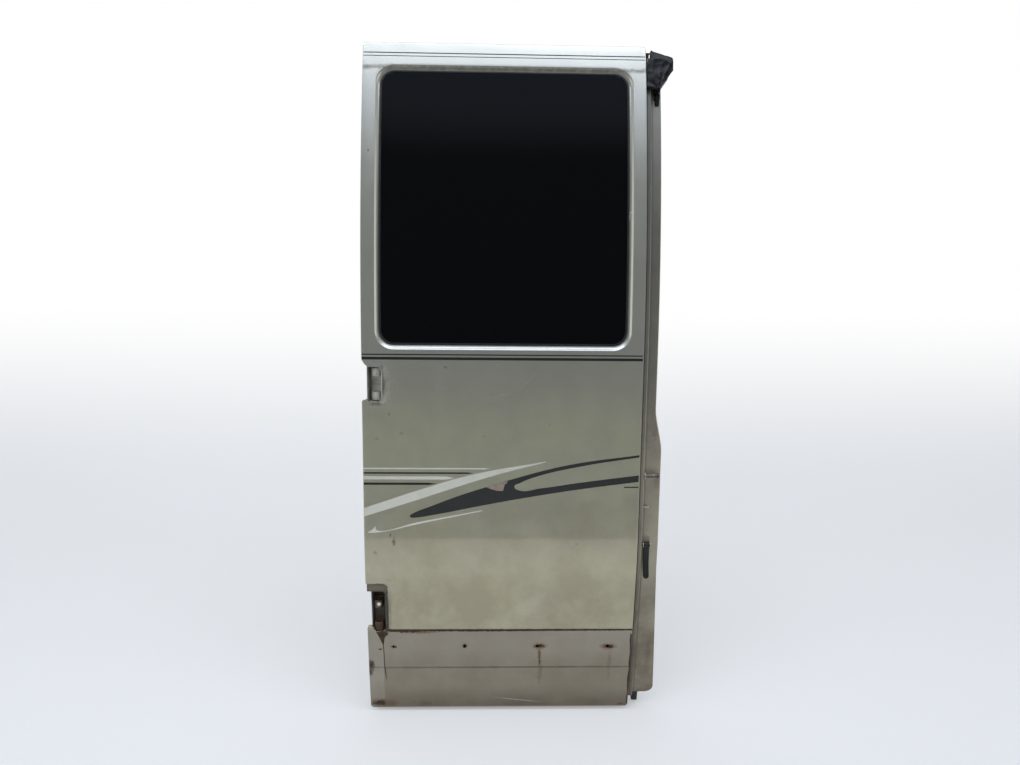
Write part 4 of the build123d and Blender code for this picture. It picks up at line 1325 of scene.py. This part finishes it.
@dataclass
class MeetingEdge:
    """Stepped edge that the other leaf closes on: shut wall, ledge, step and outer ledge."""

    wall_x: float = 596.5
    ledge_x: float = 618.5
    upper_x: float = 643.0
    lower_x: float = 658.0
    foot_x: float = 671.0
    start: float = 1.4
    ledge: float = 12.0
    outer: float = 30.0
    wall_radius: float = 2.0
    step_radius: float = 4.0
    lip: float = 1.6
    foot: float = 22.0
    foot_radius: float = 16.0
    foot_cuts: tuple[float, ...] = (2.0, 5.0, 9.0, 14.0)
    flare_top: float = 350.0
    step_foot: float = 632.0
    step_top: float = 712.0
    step_ease: float = 0.12
    top: float = 1478.5
    straight: float = 4.5
    thickness: float = 1.5

    def reach(self, z: float) -> float:
        """Outer edge of the outer ledge at a height, with its step eased and its foot rounded.

        Args:
            z: Height above the leaf's lower edge.

        Returns:
            The edge's distance from the leaf's hinge edge.
        """
        if z > self.step_foot:
            rise = min(1.0, (z - self.step_foot) / (self.step_top - self.step_foot))
            eased = rise * rise * (3 - 2 * rise)
            return self.lower_x + (self.upper_x - self.lower_x) * (rise + self.step_ease * (eased - rise))
        if z > self.flare_top:
            return self.lower_x
        flared = self.foot_x + (self.lower_x - self.foot_x) * (z - self.foot) / (self.flare_top - self.foot)
        drop = self.foot + self.foot_radius - z
        if drop > 0:
            flared -= self.foot_radius - math.sqrt(max(self.foot_radius ** 2 - drop ** 2, 0.0))
        return flared

    def build(self) -> None:
        """Models the pressing from its cross-section."""
        work = FlatWork()
        section = [(self.wall_x, self.start, 0.0), (self.wall_x, self.ledge, self.wall_radius),
                   (self.ledge_x, self.ledge, self.step_radius), (self.ledge_x, self.outer, self.step_radius),
                   (self.upper_x - self.lip, self.outer, 0.0), (self.upper_x, self.outer + self.lip, 0.0)]
        line = [((x, depth, self.foot), radius) for x, depth, radius in section]
        draw_out(work.bm, line, 5, (0, 0, self.top - self.foot))
        work.slices(400.0, 12.0)
        for rise in self.foot_cuts:
            work.cut((0, 0, self.foot + rise), (0, 0, 1))
        start = self.ledge_x + self.straight
        for vert in work.bm.verts:
            if vert.co.x > start:
                share = (self.reach(vert.co.z) - start) / (self.upper_x - start)
                vert.co.x = start + (vert.co.x - start) * share
        new_piece("meeting_edge", work.lay(self.thickness), EDGE_LACQUER,
                  replaces=("meeting_flange", "upper_meeting_flange"))


def crease(point: Vector, steepness: float = 2.0) -> float:
    """Height of a noise that comes to sharp ridges of height 1."""
    return 1.0 - steepness * abs(noise.noise(point))


@dataclass
class WrappedLatch:
    """Upper latch, tied up in black film with a loose tail."""

    node: str = "wrapped_upper_latch"
    neck: Triple = (632.0, 20.0, 1404.0)
    flat: Pair = (0.12, 0.14)
    thickness: float = 0.3
    mesh_size: float = 3.0
    splits: int = 6
    smoothing: int = 4
    mouth_slope: float = -0.5
    sharp_angle: float = 60.0
    crease_depth: float = 4.5
    twist: float = 0.5
    twist_size: float = 40.0
    folds_per_radian: float = 2.6
    fold_run: float = 120.0
    fold_wrap: float = 60.0
    facet_size: float = 52.0
    facet_steepness: float = 2.4
    facet_height: float = 0.7
    crinkle_size: float = 17.0
    crinkle_height: float = 0.12
    gathered_to: float = 90.0
    least_gather: float = 0.2
    sunk: float = 0.55
    tail_foot: float = 1380.0
    tail_top: float = 1412.0
    tail_lean: float = 4.0
    tail_bend: float = 12.0
    shoulder: Pair = (622.0, 1462.0)
    shoulder_run: Pair = (15.0, 14.0)
    drawn_in: float = 9.0

    def build(self) -> None:
        """Crumples a fine copy of the wrapped shape into a thin sheet that is open at the tail's foot."""
        bm = self.fine_copy()
        neck = LEAF.place(*self.neck)
        moves = [vert.normal * (self.fold(vert.co, vert.co - neck) * self.crease_depth * MM)
                 for vert in bm.verts]
        for vert, move in zip(bm.verts, moves):
            vert.co += move
            vert.co.x += self.shift(vert.co) * MM
        tail_end = LEAF.place(*self.neck[:2], self.tail_foot).z
        mouth = [face for face in bm.faces
                 if face.calc_center_median().z < tail_end and face.normal.z < self.mouth_slope]
        bmesh.ops.delete(bm, geom=mouth, context="FACES")
        film = new_piece("wrapped_latch_film", bm, FILM, replaces=(self.node,), smooth=self.sharp_angle)
        wall = film.modifiers.new("film_wall", "SOLIDIFY")
        wall.thickness = self.thickness * MM
        wall.offset = -1.0

    def fine_copy(self) -> Mesh:
        """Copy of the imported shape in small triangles, with its corners smoothed.

        Returns:
            The mesh.
        """
        bm = bmesh.new()
        bm.from_mesh(bpy.data.objects[self.node].data)
        bmesh.ops.remove_doubles(bm, verts=bm.verts[:], dist=PACKED_WELD)
        for _ in range(self.splits):
            long = [edge for edge in bm.edges if edge.calc_length() > self.mesh_size * MM]
            if not long:
                break
            bmesh.ops.subdivide_edges(bm, edges=long, cuts=1)
            bmesh.ops.triangulate(bm, faces=bm.faces[:], quad_method="SHORT_EDGE")
        for _ in range(self.smoothing):
            bmesh.ops.smooth_vert(bm, verts=bm.verts[:], factor=0.5, use_axis_x=True, use_axis_y=True,
                                  use_axis_z=True)
        bm.normal_update()
        return bm

    def shift(self, point: Vector) -> float:
        """How far a point moves right: the tail hangs clear, and the crown is drawn in from the corner.

        Args:
            point: Point of the film, in metres.

        Returns:
            The move in millimetres.
        """
        x, _, z = LEAF.drawn(point)
        if z < self.tail_top:
            return self.tail_lean * min(1.0, (self.tail_top - z) / self.tail_bend)
        inner = min(1.0, max(0.0, (self.shoulder[0] - x) / self.shoulder_run[0]))
        upper = min(1.0, max(0.0, (z - self.shoulder[1]) / self.shoulder_run[1]))
        return self.drawn_in * inner * upper

    def fold(self, point: Vector, arm: Vector) -> float:
        """Height of the gathered folds, which run out from the neck and flatten towards the crown.

        Args:
            point: Point of the film, in metres.
            arm: The point, measured from the neck.

        Returns:
            The height as a share of the deepest crease.
        """
        far = arm.length / MM
        turn = math.atan2(arm.x, arm.z) + self.twist * noise.noise(point / (self.twist_size * MM))
        along = Vector((turn * self.folds_per_radian, far / self.fold_run, arm.y / (self.fold_wrap * MM)))
        rays = crease(along)
        facets = crease(point / (self.facet_size * MM), self.facet_steepness)
        crinkles = crease(point / (self.crinkle_size * MM))
        near = max(self.least_gather, 1.0 - far / self.gathered_to)
        broad = near * rays + self.facet_height * (1.0 - near) * facets
        return broad + self.crinkle_height * crinkles - self.sunk


@dataclass
class LiningStuds:
    """Push-in studs that hold the lining board along its edge."""

    left: float = 54.0
    right: float = 553.0
    low: float = 48.0
    high: float = 820.0
    depth: float = 62.6
    radius: float = 8.0
    crown_radius: float = 6.8
    height: float = 2.4
    rim_width: float = 3.2
    dimple: float = 0.7
    rounding: float = 0.6
    points: int = 20
    across: int = 4
    upwards: int = 6

    def places(self) -> list[Pair]:
        """Places of the studs round the board.

        Returns:
            Their middles, as x and z.
        """
        xs = [self.left + (self.right - self.left) * i / (self.across - 1) for i in range(self.across)]
        zs = [self.low + (self.high - self.low) * i / (self.upwards - 1) for i in range(self.upwards)]
        return [(x, z) for x in xs for z in zs if x in (xs[0], xs[-1]) or z in (zs[0], zs[-1])]

    def build(self) -> None:
        """Models every stud: a low cone with a dimple and an eased rim."""
        work = FlatWork()
        lie = Matrix.Rotation(-math.pi / 2, 4, "X")
        for x, z in self.places():
            at = Matrix.Translation((x, self.depth + self.height / 2, z)) @ lie
            verts = bmesh.ops.create_cone(work.bm, cap_ends=True, segments=self.points, radius1=self.radius,
                                          radius2=self.crown_radius, depth=self.height, matrix=at)["verts"]
            caps = {face for vert in verts for face in vert.link_faces if len(face.verts) == self.points}
            cap = max(caps, key=lambda face: face.calc_center_median().y)
            rim = list(cap.edges)
            bmesh.ops.inset_region(work.bm, faces=[cap], thickness=self.rim_width)
            bmesh.ops.translate(work.bm, verts=list(cap.verts), vec=(0, -self.dimple, 0))
            ease(work.bm, rim, self.rounding, 2, Round.EDGES)
        new_piece("lining_studs", work.lay(waves=False), STUD_PLASTIC)


@dataclass(frozen=True)
class Group:
    """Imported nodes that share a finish, the rounding of their edges and a body."""

    finish: Finish
    rounding: float
    nodes: tuple[str, ...]
    body: Body = Body.LEAF


@dataclass
class Fittings:
    """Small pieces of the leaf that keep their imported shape, with eased edges and real finishes."""

    groups: tuple[Group, ...] = (
        Group(INNER_PAINT, 0.5, ("hinge_channel", "lock_channel", "header_channel", "waist_channel",
                                 "sill_channel")),
        Group(INNER_PAINT, 0.6, ("lower_inner_panel",)),
        Group(LINING, 0.8, ("trim_board",)),
        Group(RUBBER, 2.5, ("weatherstrip",)),
        Group(PAN_PAINT, 0.5, ("upper_hinge_pan",)),
        Group(GRIMY_PAN, 0.5, ("lower_hinge_pan",)),
        Group(HINGE_STEEL, 0.8, ("upper_hinge_bracket",)),
        Group(GRIMY_HINGE, 0.8, ("lower_hinge_bracket",)),
        Group(BUSH_BRONZE, 0.3, ("upper_hinge_bushes", "lower_hinge_bushes")),
        Group(EDGE_LACQUER, 0.5, ("striker_plate",)),
        Group(BARE_STEEL, 0.4, ("striker_pin",)),
        Group(EDGE_LACQUER, 0.4, ("lever_bracket",)),
        Group(BARE_STEEL, 0.3, ("lever_pin",)),
        Group(BLACK_METAL, 0.8, ("release_lever",), Body.LEVER),
        Group(BLACK_METAL, 0.4, ("lower_latch_guide",)),
        Group(BLACK_METAL, 0.8, ("lower_latch_bolt",), Body.BOLT),
        Group(NYLON, 0.5, ("edge_buffer",)),
    )
    pan_overlap: float = 3.0

    def build(self) -> None:
        """Eases and dresses every fitting."""
        pieces = {node: refined(node, group.finish, group.rounding, group.body)
                  for group in self.groups for node in group.nodes}
        self.trim_pan(pieces["upper_hinge_pan"])

    def trim_pan(self, pan: bpy.types.Object) -> None:
        """Draws the pan's outer corner in behind the run of the skin's edge.

        Args:
            pan: The upper hinge's pan.
        """
        start, end = UPPER_POCKET.head
        for vert in pan.data.vertices:
            x, _, z = LEAF.drawn(vert.co)
            run = min((start.z - z) / (start.z - end.z), 1.0)
            if z > end.z - self.pan_overlap and x < end.x:
                vert.co.x += max(0.0, start.x + run * (end.x - start.x) - x) * MM


@dataclass(frozen=True)
class Lamp:
    """Soft rectangular light, seen in gloss where it is mirrored."""

    name: str
    at: Triple
    target: Triple
    size: Pair
    power: float
    mirrored: bool
    colour: str = "#E9F0FC"

    def build(self) -> None:
        """Hangs the light and aims it."""
        data = bpy.data.lights.new(self.name, "AREA")
        data.shape = "RECTANGLE"
        data.size, data.size_y = self.size
        data.energy = self.power
        data.color = linear(self.colour)[:3]
        aim = (Vector(self.target) - Vector(self.at)).to_track_quat("-Z", "Y")
        lamp = linked(self.name, data)
        lamp.matrix_world = Matrix.Translation(self.at) @ aim.to_matrix().to_4x4()
        lamp.visible_glossy = self.mirrored


@dataclass
class Studio:
    """Plain pale floor, backdrop, soft lights and the camera, in metres and degrees."""

    sensor: float = 36.0
    lens: float = 766.0 / 1020.0 * sensor
    camera_at: Triple = (0.2456, -1.6734, 0.7462)
    yaw: float = -1.628
    pitch: float = -7.838
    roll: float = -0.569
    floor_z: float = -0.268
    front: float = -1.2
    back: float = 2.2
    wide: float = 9.0
    tall: float = 4.0
    sweep: float = 0.9
    floor_glow: float = 0.28
    ceiling_rise: Pair = (0.46, 0.61)
    ceiling_front: Pair = (-0.1, -0.4)
    ceiling_behind: float = 0.3
    side_rise: Pair = (0.82, 0.98)
    side_level: float = 1.4
    room_level: float = 0.275
    lamps: tuple[Lamp, ...] = (
        Lamp("ceiling_softbox", (0.25, -0.85, 2.9), (0.28, 0.05, 0.6), (2.6, 1.0), 28.0, True),
        Lamp("front_fill", (-1.2, -2.6, 0.9), (0.28, 0.0, 0.4), (1.6, 1.8), 13.0, False),
    )

    def camera(self) -> None:
        """Sets the camera at the picture's angle."""
        data = bpy.data.cameras.new("camera")
        data.sensor_fit = "HORIZONTAL"
        data.sensor_width = self.sensor
        data.lens = self.lens
        data.clip_start = 0.01
        turn = Matrix.Identity(4)
        for angle, axis in ((self.yaw, "Z"), (self.pitch, "X"), (self.roll, "Y"), (90.0, "X")):
            turn = turn @ Matrix.Rotation(math.radians(angle), 4, axis)
        camera = linked("camera", data)
        camera.matrix_world = Matrix.Translation(self.camera_at) @ turn
        bpy.context.scene.camera = camera

    def pale(self) -> bpy.types.Material:
        """Pale matt paper, which the camera, gloss and glass see as white where it rises behind the leaf.

        Returns:
            The material.
        """
        made = bpy.data.materials.new("pale studio paper")
        tree = bare_tree(made)
        rays = add(tree, "LightPath").outputs
        seen = add(tree, "Math", {0: rays["Is Camera Ray"], 1: rays["Is Glossy Ray"]}, operation="MAXIMUM")
        seen = add(tree, "Math", {0: seen.outputs[0], 1: rays["Is Transmission Ray"]}, operation="MAXIMUM")
        height = add(tree, "SeparateXYZ", {0: add(tree, "TexCoord").outputs["Object"]}).outputs["Z"]
        risen = add(tree, "MapRange", {"Value": height, "From Min": self.floor_z,
                                       "From Max": self.floor_z + self.sweep, "To Min": self.floor_glow},
                    interpolation_type="SMOOTHSTEP")
        share = add(tree, "Math", {0: seen.outputs[0], 1: risen.outputs[0]}, operation="MULTIPLY")
        matt = add(tree, "BsdfDiffuse", {"Color": linear("#F6F4EF")})
        glow = add(tree, "Emission", {"Color": linear("#FFFFFF"), "Strength": 1.0})
        mixed = add(tree, "MixShader", {0: share.outputs[0], 1: matt.outputs[0], 2: glow.outputs[0]})
        add(tree, "OutputMaterial", {"Surface": mixed.outputs[0]})
        return made

    def paper(self) -> None:
        """Adds the floor, which sweeps up behind the leaf to a backdrop."""
        bm = bmesh.new()
        line = [(self.front, 0.0, 0.0), (self.back, 0.0, self.sweep), (self.back, self.tall, 0.0)]
        draw_out(bm, [((-self.wide / 2, y, self.floor_z + z), radius) for y, z, radius in line], 16,
                 (self.wide, 0, 0))
        bmesh.ops.recalc_face_normals(bm, faces=bm.faces[:])
        shaped("studio_paper", bm, self.pale())

    def world(self) -> None:
        """Dim room round the leaf, brighter towards the ceiling and at both sides."""
        bpy.context.scene.world = bpy.data.worlds.new("studio")
        tree = bare_tree(bpy.context.scene.world)
        heading = add(tree, "SeparateXYZ", {0: add(tree, "TexCoord").outputs["Generated"]}).outputs
        across = add(tree, "Math", {0: heading["X"]}, operation="ABSOLUTE").outputs[0]
        above, ahead, beside = (
            add(tree, "MapRange", {"Value": way, "From Min": rise[0], "From Max": rise[1], "To Min": low,
                                   "To Max": high}, interpolation_type="SMOOTHSTEP").outputs[0]
            for way, rise, low, high in ((heading["Z"], self.ceiling_rise, 0.0, 1.0),
                                         (heading["Y"], self.ceiling_front, self.ceiling_behind, 1.0),
                                         (across, self.side_rise, 0.0, self.side_level)))
        ceiling = add(tree, "Math", {0: above, 1: ahead}, operation="MULTIPLY")
        level = add(tree, "Math", {0: ceiling.outputs[0], 1: beside}, operation="MAXIMUM")
        level = add(tree, "Math", {0: level.outputs[0], 1: self.room_level}, operation="ADD")
        tone = laid_over(tree, above, linear("#ECEEEA"), "#DCE8FF")
        sky = add(tree, "Background", {"Color": tone, "Strength": level.outputs[0]})
        add(tree, "OutputWorld", {"Surface": sky.outputs[0]})

    def build(self) -> None:
        """Sets the stage."""
        self.camera()
        self.paper()
        for lamp in self.lamps:
            lamp.build()
        self.world()
        bpy.context.scene.view_settings.view_transform = "Standard"


def main() -> None:
    """Builds the leaf's pieces in order, then the studio."""
    logging.basicConfig(level=logging.INFO, format="%(message)s")
    for thing in list(bpy.data.objects):
        bpy.data.objects.remove(thing)
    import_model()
    for assembly in (OuterSkin, RepairPanel, Window, Livery, MeetingEdge, WrappedLatch, LiningStuds, Fittings,
                     Studio):
        assembly().build()


if __name__ == "__main__":
    main()
